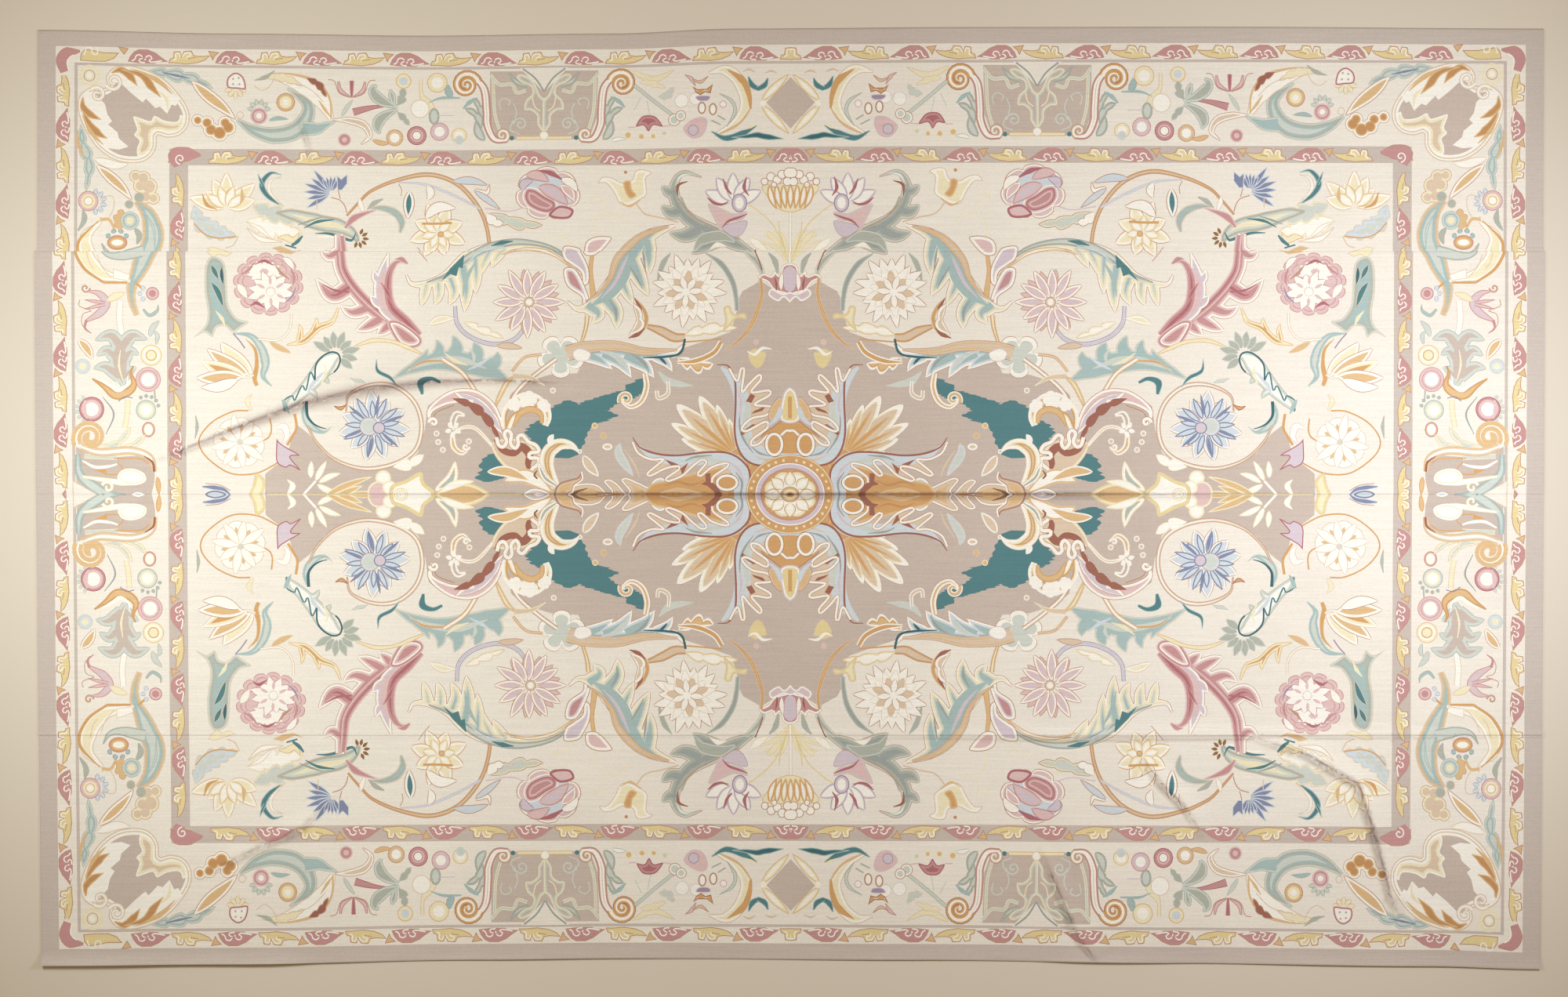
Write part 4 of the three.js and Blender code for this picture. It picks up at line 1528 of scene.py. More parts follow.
def five_petal_flower():
    """Five-petal flower and grey-blue acanthus"""
    out = bloom("brown .9 ivory 6 mist", 714, 456, 31, 5, 0.42, 18, squash=0.92)
    out += line("tan .9 orange 1 ivory", 4.4, "690,454 668,458 652,476")
    out += acanthus(
        "brown .8 ivory 2.4 ice 2.4 sea", (20, 22, 20, 16, 10, 3),
        "722,452 746,448 784,448 820,455 854,454 872,440", (20, "740,452 762,460 780,473"),
        (22, "768,452 790,464 804,484"), (22, "796,454 820,468 833,484"),
        (16, "834,456 848,464 856,476"),
    )
    out += taper(
        "brown .7 tan 2 gold 1.4 tan", (20, 15, 13, 10, 3), "722,453 746,445 784,443 822,450 862,448"
    )
    out += taper("ice 1 mist", (1, 6, 8, 1), "764,450 780,454 792,464 800,476")
    out += taper("sea 1 slate", (1, 5, 6, 1), "798,452 812,458 822,468 826,478")
    out += shape("lilac 1 ivory", "729,452 738,446 752,452 748,462 734,462")
    out += taper("deep_teal", (1, 3, 3, 3), "818,458 846,457 866,452 872,434")
    out += vein("deep_teal", 4, "838,457 844,462 848,467")
    out += leaf("ivory 3 orange 2 gold", 30, 3, "862,458 886,464 908,466", sides=(1, 0.3), dip=0.6)
    out += taper("ivory 1.6 orange", (4, 8, 8, 7), "862,464 886,462 908,452 918,438")
    out += shape("tan 1 yellow", "952,452 955,464 963,472 971,466 975,452 968,450 962,446")
    out += taper("ivory", (1, 4, 4, 1), "951,450 960,454 970,446 982,447")
    out += disc("tan 1 pink", 962, 438, 4)
    return out


def turquoise_leaf():
    """Turquoise leaf and the ribbons below it"""
    out = acanthus(
        "tan .7 mist 1.6 sea", (3, 16, 26, 30, 24, 4),
        "500,486 526,472 560,462 596,466 626,476 650,488", (18, "552,466 560,448 556,434"),
        (22, "572,464 582,446 577,429"), (24, "596,468 608,452 603,438"),
        (22, "618,474 632,462 634,450"), (14, "526,472 540,458 546,446"),
    )
    out += taper("mist", (1, 8, 10, 1), "520,474 556,462 590,462 620,472")
    out += vein("ice", 5, "596,474 612,466 626,456")
    out += vein("straw", 5, "566,452 580,462 596,468")
    out += vein("mist", 5, "598,446 604,456 602,468")
    out += taper("tan .8 orange 1.2 ivory", (1, 4, 3), "518,478 538,464 566,462")
    out += line("orange 1 tan 1 ivory", 6.5, "564,460 590,478 606,502")
    out += line("brown .9 tan .9 ivory", 6, "708,460 684,478 658,502 643,534")
    out += taper("tan 1 gold 1.6 straw", (3, 8, 7, 3), "660,480 646,490 636,508 628,528")
    out += taper("straw 1 tan", (8, 6, 1), "654,482 676,484 694,494")
    out += taper("sea .8 teal", (1, 5, 5, 1), "480,460 482,475 498,484 508,496")
    out += taper("sea .8 teal", (4, 10, 6, 4), "538,505 537,490 550,485 562,490")
    out += taper("mist", (2, 10, 8, 1), "838,476 850,488 866,492 882,494")
    return out


def field_inner():
    """Flowers and branches beside the medallion"""
    return (
        daisy()
        + arching_acanthus()
        + three_petal_bud()
        + second_acanthus()
        + chrysanthemum()
        + twigs()
        + five_petal_flower()
        + turquoise_leaf()
    )


def scroll_leaves():
    """Rust and ivory scroll leaves"""
    out = taper(
        "brown .9 ivory 3 pink", (3, 10, 18, 22, 22, 18),
        "549,545 548,526 572,510 598,508 620,522 636,552",
    )
    out += leaf("brown .7 ivory 3 lilac", 30, 3, "640,556 628,530 606,510 578,502", sides=(0.2, 1))
    out += leaf("rust", 13, 4, "576,510 600,519 620,536 637,564", dip=0.6)
    out += line("brown", 1.6, "552,540 556,528 578,519")
    out += coil("brown .8 ivory", (6, 4), 552, 541, 6, 1.1, 180)
    out += taper("tan .9 ivory 2.4 taupe", (5, 10, 10, 8), "592,532 582,530 577,540 580,550")
    out += taper("tan .9 ivory 1.6 gold", (4, 6, 6, 5), "574,558 588,548 606,549 628,572")
    out += taper("tan .9 ivory 2 gold", (7, 9, 8, 6), "576,556 578,572 588,580 596,574")
    out += coil("tan .8 ivory", (4, 4), 593, 572, 5, 1, 0)
    for x, y in ((556, 555), (558, 566), (564, 576), (597, 565), (704, 500)):
        out += disc("ivory 1.4 tan", x, y, 3.8)
    out += petals("ivory", 577, 550, 2, 11, 5, 6, 20)
    out += taper(
        "ivory 3.4 straw 1.5 orange 2.4 taupe", (12, 20, 26, 22, 12, 8),
        "644,548 650,528 672,514 692,522 697,534 694,545",
    )
    out += bloom("ivory", 672, 512, 12, 5, 0.2)
    out += bloom("ivory", 655, 518, 9, 5, 0.2)
    out += bloom("ivory", 692, 520, 9, 5, 0.2)
    out += taper("orange 1.4 gold", (3, 8, 9, 8, 5), "654,546 662,530 676,524 688,530 690,542")
    return out


def fan_leaf():
    """Gold leaf of the fan, with its rust meander"""
    out = bud("tan 1 straw 3 tan", 44, "626,568 664,588 706,626")
    out += taper(
        "tan .8 rust", (6, 10, 10, 12, 12, 9, 3),
        "630,562 640,576 654,580 664,572 674,582 672,594 676,608",
    )
    out += line(
        "brown .8 ivory", 6,
        "632,560 635,570 641,572 645,565 642,556 646,551 651,556 650,568 656,574 660,568 659,560 "
        "665,557 673,566 682,570 686,578 675,580 674,586 685,587 684,595 677,601 680,609 688,614",
    )
    out += bud("tan 1 gold 2 ivory", 20, "640,616 670,610 706,632")
    out += bud("ivory 2 gold", 14, "620,604 646,604 676,616")
    out += shape(
        "brown .7 ivory 2 mist 2.4 tan", "704,648 704,636 694,628 680,625 668,630 660,641 662,648"
    )
    out += line("brown .7 ivory", 3.6, "704,640 690,632 678,634 668,642")
    out += vein("lilac", 3, "676,630 688,630 698,634")
    out += taper(
        "tan .8 ivory 3.4 straw 2 orange 2 tan", (10, 17, 19, 18, 12, 2),
        "708,622 697,600 698,580 712,569 728,571 738,580",
    )
    out += taper("tan .8 ivory 2 sage", (7, 9, 8, 2), "708,622 694,612 688,600 684,590")
    out += taper("umber", (1, 3, 2), "684,602 680,608 684,613")
    out += bud("ivory", 9, "702,571 701,562 705,556")
    return out


def middle_acanthus():
    """Tan acanthus along the middle row, with two slanted teeth"""
    out = shape(
        "brown .7 ivory 2 brown .6 tan 3.5 gold",
        "716,648 719,632 728,622 746,618 762,621 774,632 778,629 768,617 775,613 786,619 797,631 "
        "800,628 790,615 797,611 812,617 828,624 848,628 848,648",
    )
    # The thin ochre line along the middle row is painted shade of the centre seam's welt
    out += vein("ochre", 2, "760,630 800,634 840,633")
    out += vein("umber", 4, "724,644 730,632 748,625")
    out += shape(
        "rust .8 brown 1.4 tan 2 gold",
        "703,648 706,630 712,619 726,614 736,611 740,604 741,614 731,622 729,630 722,634 722,648",
    )
    out += line("ivory", 1.8, "740,604 741,614 731,622 729,630 722,634 722,646")
    out += shape("brown .7 ivory 2.4 mist", "826,624 832,614 842,611 849,618 846,628 838,634 830,632")
    return out


def small_leaves():
    """Small leaves on the taupe ground"""
    out = bud("tan .8 ice 2 mist", 13, "789,567 788,582 806,610")
    out += bud("ivory 2 tan", 13, "742,583 750,596 762,610")
    out += vein("tan", 3, "795,576 808,596 814,612")
    out += disc("straw 1.2 gold", 757, 545, 4)
    out += disc("tan 1.2 gold", 768, 558, 4.5)
    out += disc("ivory 2.4 tan", 773, 572, 6.5, 4.5)
    out += disc("ivory 1.5 tan", 738, 578, 3)
    out += taper("brown .7 ivory 2.4 gold", (8, 9, 9, 8, 6), "821,478 823,496 816,514 802,521 790,512")
    out += coil("ivory 1.5 gold", (7, 5), 797, 511, 9, 1.1, 150)
    out += taper("ivory 1.4 tan", (4, 6, 5), "850,488 850,504 838,510 836,500")
    return out


def maple_leaf():
    """Gold maple leaf: pointed lobes in three layers, each layer over the one before"""
    lobes = (
        (15, 884, 578), (19, 867, 562), (21, 854, 542), (27, 861, 518), (25, 890, 507), (17, 912, 518),
        (14, 928, 536),
    )
    out = []
    for width, x, y in lobes:
        out += leaf("brown .6 ivory", width, 0, 934, 580, (934 + x) / 2, (580 + y) / 2 + 2, x, y, blunt=0.5)
    for width, x, y in lobes:
        tip = np.array([x - 934, y - 580]) * 0.9 + (934, 580)
        middle = (tip + (936, 582)) / 2
        out += leaf("straw 1.6 tan", width - 5, 0, 936, 582, *middle, *tip, blunt=0.5)
    for width, x, y in lobes:
        tip = np.array([x - 934, y - 580]) * 0.76 + (934, 580)
        middle = (tip + (936, 582)) / 2
        out += leaf("gold 1 orange", width * 0.24, 0, 936, 582, *middle, *tip, blunt=0.6)
    return out


def field_centre():
    """Scrolls and leaves on the medallion"""
    return scroll_leaves() + fan_leaf() + middle_acanthus() + small_leaves() + maple_leaf()


def far_lyre():
    """Half of the lyre above the rosette: a scroll with a toothed inner edge round an eye"""
    out = shape("rust .8 orange", "968,562 984,546 1004,532 1014,532 1014,584 990,584")
    out += cut(
        "tan",
        "936,480 946,470 944,502 966,480 969,488 956,502 980,500 979,508 958,520 982,520 978,534 "
        "952,548 976,540 978,548 956,568 976,556 980,590 940,578",
    )
    out += taper(
        "ice", (3, 16, 20, 22, 24, 26, 22, 14),
        "918,470 936,490 944,515 944,550 950,572 966,584 988,590 1014,588",
    )
    out += taper(
        "rust", (1, 2.6, 2.6, 2.6, 2.6, 2.6, 2.6, 2.6),
        "912,467 927,469 935,487 936,515 935,555 942,580 958,594 986,596 1014,589",
    )
    out += taper("mist", (1, 6, 8, 6, 1), "944,505 951,522 948,542 950,560 962,578")
    out += taper("slate", (1, 2, 3, 1), "942,520 941,545 946,562 958,580")
    out += vein("lilac", 4, "939,500 943,516 940,536")
    out += taper("tan", (1, 3, 3, 1), "960,584 972,588 986,590 1002,588")
    out += vein("slate", 3, "956,572 966,580 980,584")
    out += cut("rust", "955,504 961,507 956,516 949,514")
    out += cut("rust", "960,526 976,519 970,526 956,530")
    out += cut("rust", "942,554 958,543 962,544 944,558")
    out += line(
        "brown .8 ivory", 4.4,
        "928,472 938,488 943,472 947,474 944,502 953,492 966,480 968,486 956,502 978,500 979,506 "
        "960,518 981,521 976,531 956,536 944,548 950,552 974,540 976,548 958,562 956,570 966,568 "
        "978,557 992,558 1002,551 1014,558",
    )
    out += shape("brown 1 tan 1.4 gold", "977,534 982,518 992,508 998,514 994,524 984,540")
    out += shape("lilac 1.6 ivory 2 yellow", "993,538 995,510 1001,498 1014,496 1014,538")
    out += shape("lilac .8 ice", "976,546 985,534 992,520 996,528 988,540")
    out += line("orange", 3, "1004,508 1004,536")
    out += disc("umber .8 ivory 3.4 brown .8 orange", 985, 569, 12.5, 16)
    return out


def side_lyre():
    """Half of the lyre beside the rosette"""
    out = shape("tan 1 gold 2 orange", "826,622 850,614 880,606 905,600 925,600 930,646 826,646")
    out += cut(
        "tan",
        "830,584 844,588 824,608 850,600 862,596 846,614 866,608 888,592 900,590 886,608 905,596 "
        "926,594 906,612 930,606 944,600 930,580 860,582",
    )
    out += taper(
        "ice", (2, 10, 14, 16, 18, 22, 22, 18),
        "812,570 828,583 848,588 880,588 906,587 930,590 943,606 944,646",
    )
    out += taper(
        "rust", (1, 2.6, 2.6, 2.6, 2.6, 2.6, 2.6, 2.6),
        "805,560 815,573 836,581 862,583 900,579 926,580 944,590 954,607 951,646",
    )
    out += taper("mist", (1, 5, 6, 1), "868,592 890,586 910,590 932,594")
    out += vein("slate", 3, "872,590 884,585 906,583")
    out += taper("lilac", (1, 4, 2), "926,590 940,602 946,618")
    out += taper("slate", (1, 3, 2), "936,604 944,618 942,634")
    out += cut("rust", "846,588 862,594 868,602 856,598")
    out += cut("rust", "866,600 876,592 868,609")
    out += cut(
        "rust",
        "897,606 904,606 904,616 912,622 918,632 918,646 911,646 909,630 900,622 892,620 898,616",
    )
    out += line(
        "brown .8 ivory", 4.2,
        "805,566 812,580 828,588 844,588 838,594 824,606 828,609 846,600 862,597 864,601 848,612 "
        "850,616 868,609 880,598 892,589 899,592 888,606 892,609 906,598 924,593 926,597 908,610 "
        "906,618",
    )
    out += taper("ochre", (1, 3, 3, 1), "846,622 862,617 880,621 896,615")
    out += taper("tan .8 gold", (1, 5, 5, 1), "840,631 862,627 884,631 904,635")
    out += disc("umber .8 ivory 3.2 brown .8 orange", 925, 618, 15, 11.5)
    return out


def rosette():
    """A round flower in a lilac ring, on an orange ground with beads"""
    out = disc("brown .8 straw 1 orange", 1005, 633, 56, 51)
    for k in range(9):
        angle = np.radians(180 + 11.5 * k)
        out += disc("gold .6 straw", 1005 + 50 * np.cos(angle), 634 + 45 * np.sin(angle), 2.2)
    out += disc("brown 1 ivory 1.4 lilac 5 rose .8 brown .8 orange", 1005, 633, 45, 41)
    out += bloom("brown 1.2 gold 1.6 straw 3.4 ivory", 1005, 633, 36, 8, 0.2, 22.5, squash=0.88)
    out += petals("brown 1 straw 2 ivory", 1005, 633, 12, 33, 8, 15, 0, squash=0.88)
    out += disc("brown 1.2 gold 2.4 straw 3 orange 2 umber", 1005, 633, 12, 10)
    return out


def quatrefoil():
    """Orange middle of the medallion, with its lyres and the rosette"""
    out = disc("orange", 1005, 633, 82)
    out += shape("tan 1 orange", "928,580 942,574 956,592 948,604 934,592")
    return out + far_lyre() + side_lyre() + rosette()


def field():
    """All motifs of the field, from the ground up"""
    return (
        medallion()
        + field_far()
        + field_top_centre()
        + field_left()
        + field_lower_left()
        + field_inner()
        + field_centre()
        + quatrefoil()
    )


def whole_chart():
    """All the quarter's motifs, from the lowest layer to the topmost"""
    return bands_ground() + field() + guards() + corner() + top_border() + left_border()


TRIED_AT_ONCE = 4000000  # places times corners of an outline, to keep the arrays small




def goes_round(outline, places):
    """How often an outline goes anticlockwise round each place, counted from its edges that cross the row"""
    x, y = places[:, :1], places[:, 1:]
    x0, y0 = outline.T
    x1, y1 = np.roll(outline, -1, axis=0).T
    left_of = (x1 - x0) * (y - y0) - (x - x0) * (y1 - y0)
    up = (y0 <= y) & (y < y1) & (left_of > 0)
    down = (y1 <= y) & (y < y0) & (left_of < 0)
    return up.sum(axis=1) - down.sum(axis=1)


def topmost(motifs, places):
    """The number of the yarn on top at each place: that of the last motif whose outline goes round it.

    The places are sorted along the chart, so that each outline is tried only on those within its own box.
    """
    order = np.argsort(places[:, 0])
    sorted_places = places[order]
    worn = np.zeros(len(places), int)
    for outline, yarn in motifs:
        low, high = outline.min(axis=0), outline.max(axis=0)
        first, last = np.searchsorted(sorted_places[:, 0], (low[0], high[0]))
        rows = sorted_places[first:last, 1]
        near = first + np.flatnonzero((rows > low[1]) & (rows < high[1]))
        for part in np.array_split(near, 1 + len(near) * len(outline) // TRIED_AT_ONCE):
            inside = part[goes_round(outline, sorted_places[part]) > 0]
            worn[inside] = yarn
    back = np.empty_like(worn)
    back[order] = worn
    return back


def triangles(points, edges, nearness):
    """Divides the area round the points into triangles that keep to the edges, and joins points this near"""
    made = delaunay_2d_cdt(points.tolist(), edges.tolist(), [], 0, nearness, False)
    return np.array([tuple(point) for point in made[0]]), np.array(made[2])


def lattice():
    """Points on an even grid of the quarter, with closer rows along each edge and seam"""
    columns = [np.arange(LEFT, MIDDLE, LATTICE), [MIDDLE], LEFT + BESIDE_SEAM[:2]]
    rows = [np.arange(EDGE, SEAM, LATTICE), np.arange(SEAM, MIDDLE_ROW, LATTICE), [MIDDLE_ROW]]
    close = [EDGE + BESIDE_SEAM[:2], SEAM - BESIDE_SEAM, SEAM + BESIDE_SEAM, MIDDLE_ROW - BESIDE_SEAM]
    x, y = np.meshgrid(np.concatenate(columns), np.concatenate(rows + close))
    return np.stack([x.ravel(), y.ravel()], axis=1)


def crease_rows(panel):
    """Close rows of points along every slanting crease, as shares across and up the panel that it crosses"""
    rows = []
    for stations in CREASES:
        for (x0, y0, *_), (x1, y1, *_) in zip(stations, stations[1:]):
            if y0 == y1:
                continue
            run = np.array([x1 - x0, y1 - y0], float)
            length = np.hypot(*run)
            side = np.array([-run[1], run[0]]) / length
            share = np.arange(0, 1, CREASE_STEP / length)[:, None, None]
            offset = BESIDE_CREST[None, :, None]
            rows.append((np.array([x0, y0]) + run * share + side * offset).reshape(-1, 2))
    x, y = np.vstack(rows).T
    low, high = eased(panel.lower, x), eased(panel.upper, x)
    up = (y - low) / (high - low)
    first = lerp(panel.left[1], panel.left[0], up)
    last = lerp(panel.right[1], panel.right[0], up)
    shares = np.stack([(x - first) / (last - first), up], axis=1)
    return shares[within(shares, 0.001, 0.004, 0.999, 0.996)]


def charted(panel, shares):
    """Shares across and up a panel, carried over into the charted quarter"""
    across, up = shares.T
    top, bottom = chart_rows(panel)
    down = up if panel.name.startswith("lower") else 1 - up
    column = LEFT + np.minimum(across, 1 - across) * 2 * (MIDDLE - LEFT)
    return np.stack([column, lerp(top, bottom, down)], axis=1)


def chart_rows(panel):
    """The chart's first and last row of stitches in a panel"""
    return (EDGE, SEAM) if "outer" in panel.name else (SEAM, MIDDLE_ROW)


def frame_lines():
    """The quarter's outline and its seam, as corners and edges"""
    corners = np.array([(x, y) for y in (EDGE, SEAM, MIDDLE_ROW) for x in (LEFT, MIDDLE)], float)
    return corners, np.array([(0, 1), (2, 3), (4, 5), (0, 2), (2, 4), (1, 3), (3, 5)])


def within(places, left, top, right, bottom):
    """Which places lie inside a box"""
    x, y = places.T
    return (x > left) & (x < right) & (y > top) & (y < bottom)


def divided_by_outlines(motifs):
    """The quarter in triangles that keep to the outlines of all motifs, as points and faces"""
    corners, sides = frame_lines()
    points, edges, start = [corners], [sides], len(corners)
    for outline, _ in motifs:
        outline = divided(outline, LATTICE)
        here = np.arange(len(outline)) + start
        points.append(outline)
        edges.append(np.stack([here, np.roll(here, -1)], axis=1))
        start += len(outline)
    points, faces = triangles(np.vstack(points), np.vstack(edges), NEARNESS)
    return points, faces[within(points[faces].mean(axis=1), LEFT, EDGE, MIDDLE, MIDDLE_ROW)]


def yarn_borders(faces, worn):
    """The edges that two triangles of different yarns share"""
    ends = np.sort(np.concatenate([faces[:, [0, 1]], faces[:, [1, 2]], faces[:, [2, 0]]]), axis=1)
    owner = np.tile(np.arange(len(faces)), 3)
    order = np.lexsort((ends[:, 1], ends[:, 0]))
    ends, owner = ends[order], owner[order]
    shared = np.all(ends[1:] == ends[:-1], axis=1)
    return ends[1:][shared & (worn[owner[1:]] != worn[owner[:-1]])]


def charted_quarter(motifs):
    """The quarter's triangles and their yarns.

    The outlines of all motifs divide it first. Only the edges where two yarns meet are kept, and these with
    the lattice divide it again, so nothing that is covered leaves a mark. Points that end up beside a frame
    line are put onto it, so that the panels' rims are straight.
    """
    points, faces = divided_by_outlines(motifs)
    borders = yarn_borders(faces, topmost(motifs, points[faces].mean(axis=1)))
    used, numbers = np.unique(borders, return_inverse=True)
    corners, sides = frame_lines()
    grid = [lattice(), *(charted(panel, crease_rows(panel)) for panel in PANELS)]
    edges = np.vstack([sides, numbers.reshape(-1, 2) + len(corners)])
    points, faces = triangles(np.vstack([corners, points[used], *grid]), edges, NEARNESS)
    for column, lines in ((0, (LEFT, MIDDLE)), (1, (EDGE, SEAM, MIDDLE_ROW))):
        for place in lines:
            points[np.abs(points[:, column] - place) < 2 * NEARNESS, column] = place
    faces = faces[within(points[faces].mean(axis=1), LEFT, EDGE, MIDDLE, MIDDLE_ROW)]
    return points, faces, topmost(motifs, points[faces].mean(axis=1))


def rim_edges(faces):
    """The directed edges that only one triangle has"""
    ahead = np.concatenate([faces[:, [0, 1]], faces[:, [1, 2]], faces[:, [2, 0]]])
    size = faces.max() + 1
    alone = ~np.isin(ahead[:, 0] * size + ahead[:, 1], ahead[:, 1] * size + ahead[:, 0])
    return ahead[alone]


def outward(points, faces):
    """The triangles that have an area, corners in anticlockwise order seen from above, and which they are.

    Twice a triangle's area, with its sign, is the cross product of two of its sides.
    """
    a, b, c = (points[faces[:, k]] for k in range(3))
    turn = (b[:, 0] - a[:, 0]) * (c[:, 1] - a[:, 1]) - (b[:, 1] - a[:, 1]) * (c[:, 0] - a[:, 0])
    kept = np.abs(turn) > 1e-13
    return np.where((turn > 0)[:, None], faces, faces[:, ::-1])[kept], kept


def place_in_cloth(panel, cloth, across, up, raised):
    """Where shares across and up a panel lie in metres: on its face where raised, else on its underside.

    The face is the cloth's thickness above the lift, less a rounding that grows as the square of how far a
    place is into the last 5 mm before the panel's edge.
    """
    x, y = plan(panel, across, up)
    to_end = np.minimum(across, 1 - across) * LENGTH
    to_side = np.minimum(up, 1 - up) * panel.flat[1] / MM
    drop = cloth.rounding / MM * np.clip(1 - np.minimum(to_end, to_side) / EDGE_REACH, 0, 1) ** 2
    z = cloth_lift(x, y) + np.where(raised, cloth.thickness / MM - drop, 0)
    return (x + CENTRING) * MM, y * MM, z * MM


def face_normals(panel, cloth, across, up):
    """Upright unit normals of the face: the cross product of steps to either side, 1 mm along and across"""
    along, aside = 1 / LENGTH, 1 / WIDTH
    ends = [
        np.stack(place_in_cloth(panel, cloth, across + a, up + b, True), axis=1)
        for a, b in ((along, 0), (-along, 0), (0, aside), (0, -aside))
    ]
    normal = np.cross(ends[0] - ends[1], ends[2] - ends[3])
    return normal / np.linalg.norm(normal, axis=1)[:, None]


def panel_face(panel, quarter):
    """A panel's face: its corners as shares across and up, its triangles and the yarn of each.

    It is the charted triangles between the panel's two rows, and the same turned over to the right.
    """
    points, faces, worn = quarter
    top, bottom = chart_rows(panel)
    chosen = within(points[faces].mean(axis=1), LEFT, top, MIDDLE, bottom)
    used, faces = np.unique(faces[chosen], return_inverse=True)
    faces = faces.reshape(-1, 3)
    across = (points[used, 0] - LEFT) / (MIDDLE - LEFT) / 2
    up = (bottom - points[used, 1]) / (bottom - top)
    if panel.name.startswith("lower"):
        up = 1 - up
    # The right half shares the corners on the middle line
    middle = np.isclose(across, 0.5, atol=1e-7)
    mirror = np.where(middle, np.arange(len(used)), len(used) + np.cumsum(~middle) - 1)
    right = np.stack([1 - across[~middle], up[~middle]], axis=1)
    shares = np.vstack([np.stack([across, up], axis=1), right])
    faces, kept = outward(shares, np.vstack([faces, mirror[faces]]))
    return shares, faces, np.tile(worn[chosen], 2)[kept]


def panel_underside(panel, cloth, shares, rim):
    """A panel's underside: its corners, its triangles, and the rim's edges by its own corners.

    It shares the rim of the face. Inside that it has an even grid, and close rows beside seams and creases,
    where it has to be as finely divided as the face so as not to poke through it.
    """
    ring = np.unique(rim)
    place = np.full(len(shares), -1)
    place[ring] = np.arange(len(ring))
    in_mm = np.array([LENGTH, WIDTH])
    close = BESIDE_SEAM * cloth.stitch / MM / WIDTH
    columns, rows = (np.linspace(0, 1, count)[1:-1] for count in UNDERSIDE_GRID)
    x, y = np.meshgrid(columns, np.concatenate([rows, close, 1 - close]))
    inner = np.vstack([np.stack([x.ravel(), y.ravel()], axis=1), crease_rows(panel)])
    points, faces = triangles(np.vstack([shares[ring], inner]) * in_mm, place[rim], 1e-6)
    points /= in_mm
    return points, outward(points, faces)[0][:, ::-1], place[rim]


def mesh_of_triangles(name, vertices, faces):
    """A mesh made from whole arrays of corners and triangles"""
    mesh = bpy.data.meshes.new(name)
    mesh.vertices.add(len(vertices))
    mesh.vertices.foreach_set("co", vertices.astype(np.float32).ravel())
    mesh.loops.add(faces.size)
    mesh.loops.foreach_set("vertex_index", faces.astype(np.int32).ravel())
    mesh.polygons.add(len(faces))
    mesh.polygons.foreach_set("loop_start", np.arange(0, faces.size, 3, dtype=np.int32))
    mesh.update(calc_edges=True)
    return mesh


def dye_wool(mesh, face_colours, canvas, below, band):
    """Gives every corner its colour: the face's own, darkened by the creases' painted shade, canvas below
    and the band's on the wall
    """
    shade = np.ones((len(mesh.polygons), 3, 4))
    face_end = len(face_colours)
    shade[:face_end, :, :3] = face_colours
    shade[face_end: face_end + below, :, :3] = canvas
    shade[face_end + below:, :, :3] = band
    wool = mesh.color_attributes.new(name="wool", type="FLOAT_COLOR", domain="CORNER")
    wool.data.foreach_set("color", shade.astype(np.float32).ravel())


def lay_out_texture(mesh, corner_shares, face_end):
    """Texture room, in a UV map named OFBake.

    The left and the right half of the face lie one above the other, each over the whole width, and the
    underside and the wall lie in a narrow strip under them.
    """
    across, up = corner_shares[:, :, 0], corner_shares[:, :, 1]
    right = (across.mean(axis=1) > 0.5).astype(int)[:, None]
    beneath = (np.arange(len(across)) >= face_end)[:, None]
    u = np.where(beneath, across, across * 2 - right)
    v = np.where(beneath, 0.005 + 0.04 * up, np.where(right == 1, 0.06, 0.53) + 0.46 * up)
    room = mesh.uv_layers.new(name="OFBake")
    room.data.foreach_set("uv", np.stack([0.004 + 0.992 * u, v], axis=2).astype(np.float32).ravel())


def stitched_panel(panel, quarter, colours, cloth):
    """One panel as a closed sheet: its face, its underside, and a wall that joins their rims"""
    shares, order, worn = panel_face(panel, quarter)
    rim = rim_edges(order)
    back_points, back_faces, back_rim = panel_underside(panel, cloth, shares, rim)
    low, high = back_rim + len(shares), rim
    walls = np.vstack([
        np.stack([low[:, 0], low[:, 1], high[:, 1]], axis=1),
        np.stack([low[:, 0], high[:, 1], high[:, 0]], axis=1),
    ])
    everything = np.vstack([shares, back_points])
    raised = np.arange(len(everything)) < len(shares)
    faces = np.vstack([order, back_faces + len(shares), walls])
    vertices = np.stack(place_in_cloth(panel, cloth, *everything.T, raised), axis=1)
    mesh = mesh_of_triangles(panel.name + "_stitched", vertices, faces)

    # The face's colours are painted darker along the creases: painted shade of the folds
    painted_shade = painted_crease_shade(*plan(panel, *shares.T))[order]
    face_colours = colours[worn][:, None] * (1 - painted_shade[:, :, None] * CREASE_SHADE_TINT)
    dye_wool(mesh, face_colours, cloth.back, len(back_faces), colours[YARN_NUMBERS["band"]])
    lay_out_texture(mesh, everything[faces], len(order))

    mesh.polygons.foreach_set("use_smooth", np.arange(len(faces)) < len(order))
    leaning = np.zeros((len(faces), 3, 3))
    leaning[: len(order)] = face_normals(panel, cloth, *shares.T)[order]
    mesh.normals_split_custom_set(leaning.reshape(-1, 3).tolist())
    mesh.update()
    piece = bpy.data.objects.new(panel.name + "_stitched", mesh)
    bpy.context.scene.collection.objects.link(piece)
    return piece


def node(tree, kind, x, y, **values):
    """A new shader node at a place on the node sheet, with its own settings"""
    made = tree.nodes.new(kind)
    made.location = (x, y)
    for key, value in values.items():
        setattr(made, key, value)
    return made


def maths(tree, operation, x, y, *inputs):
    """The outcome of a sum on its inputs, which are sockets or plain numbers"""
    made = node(tree, "ShaderNodeMath", x, y, operation=operation)
    for socket, value in zip(made.inputs, inputs):
        if hasattr(value, "links"):
            tree.links.new(value, socket)
        else:
            socket.default_value = value
    return made.outputs[0]


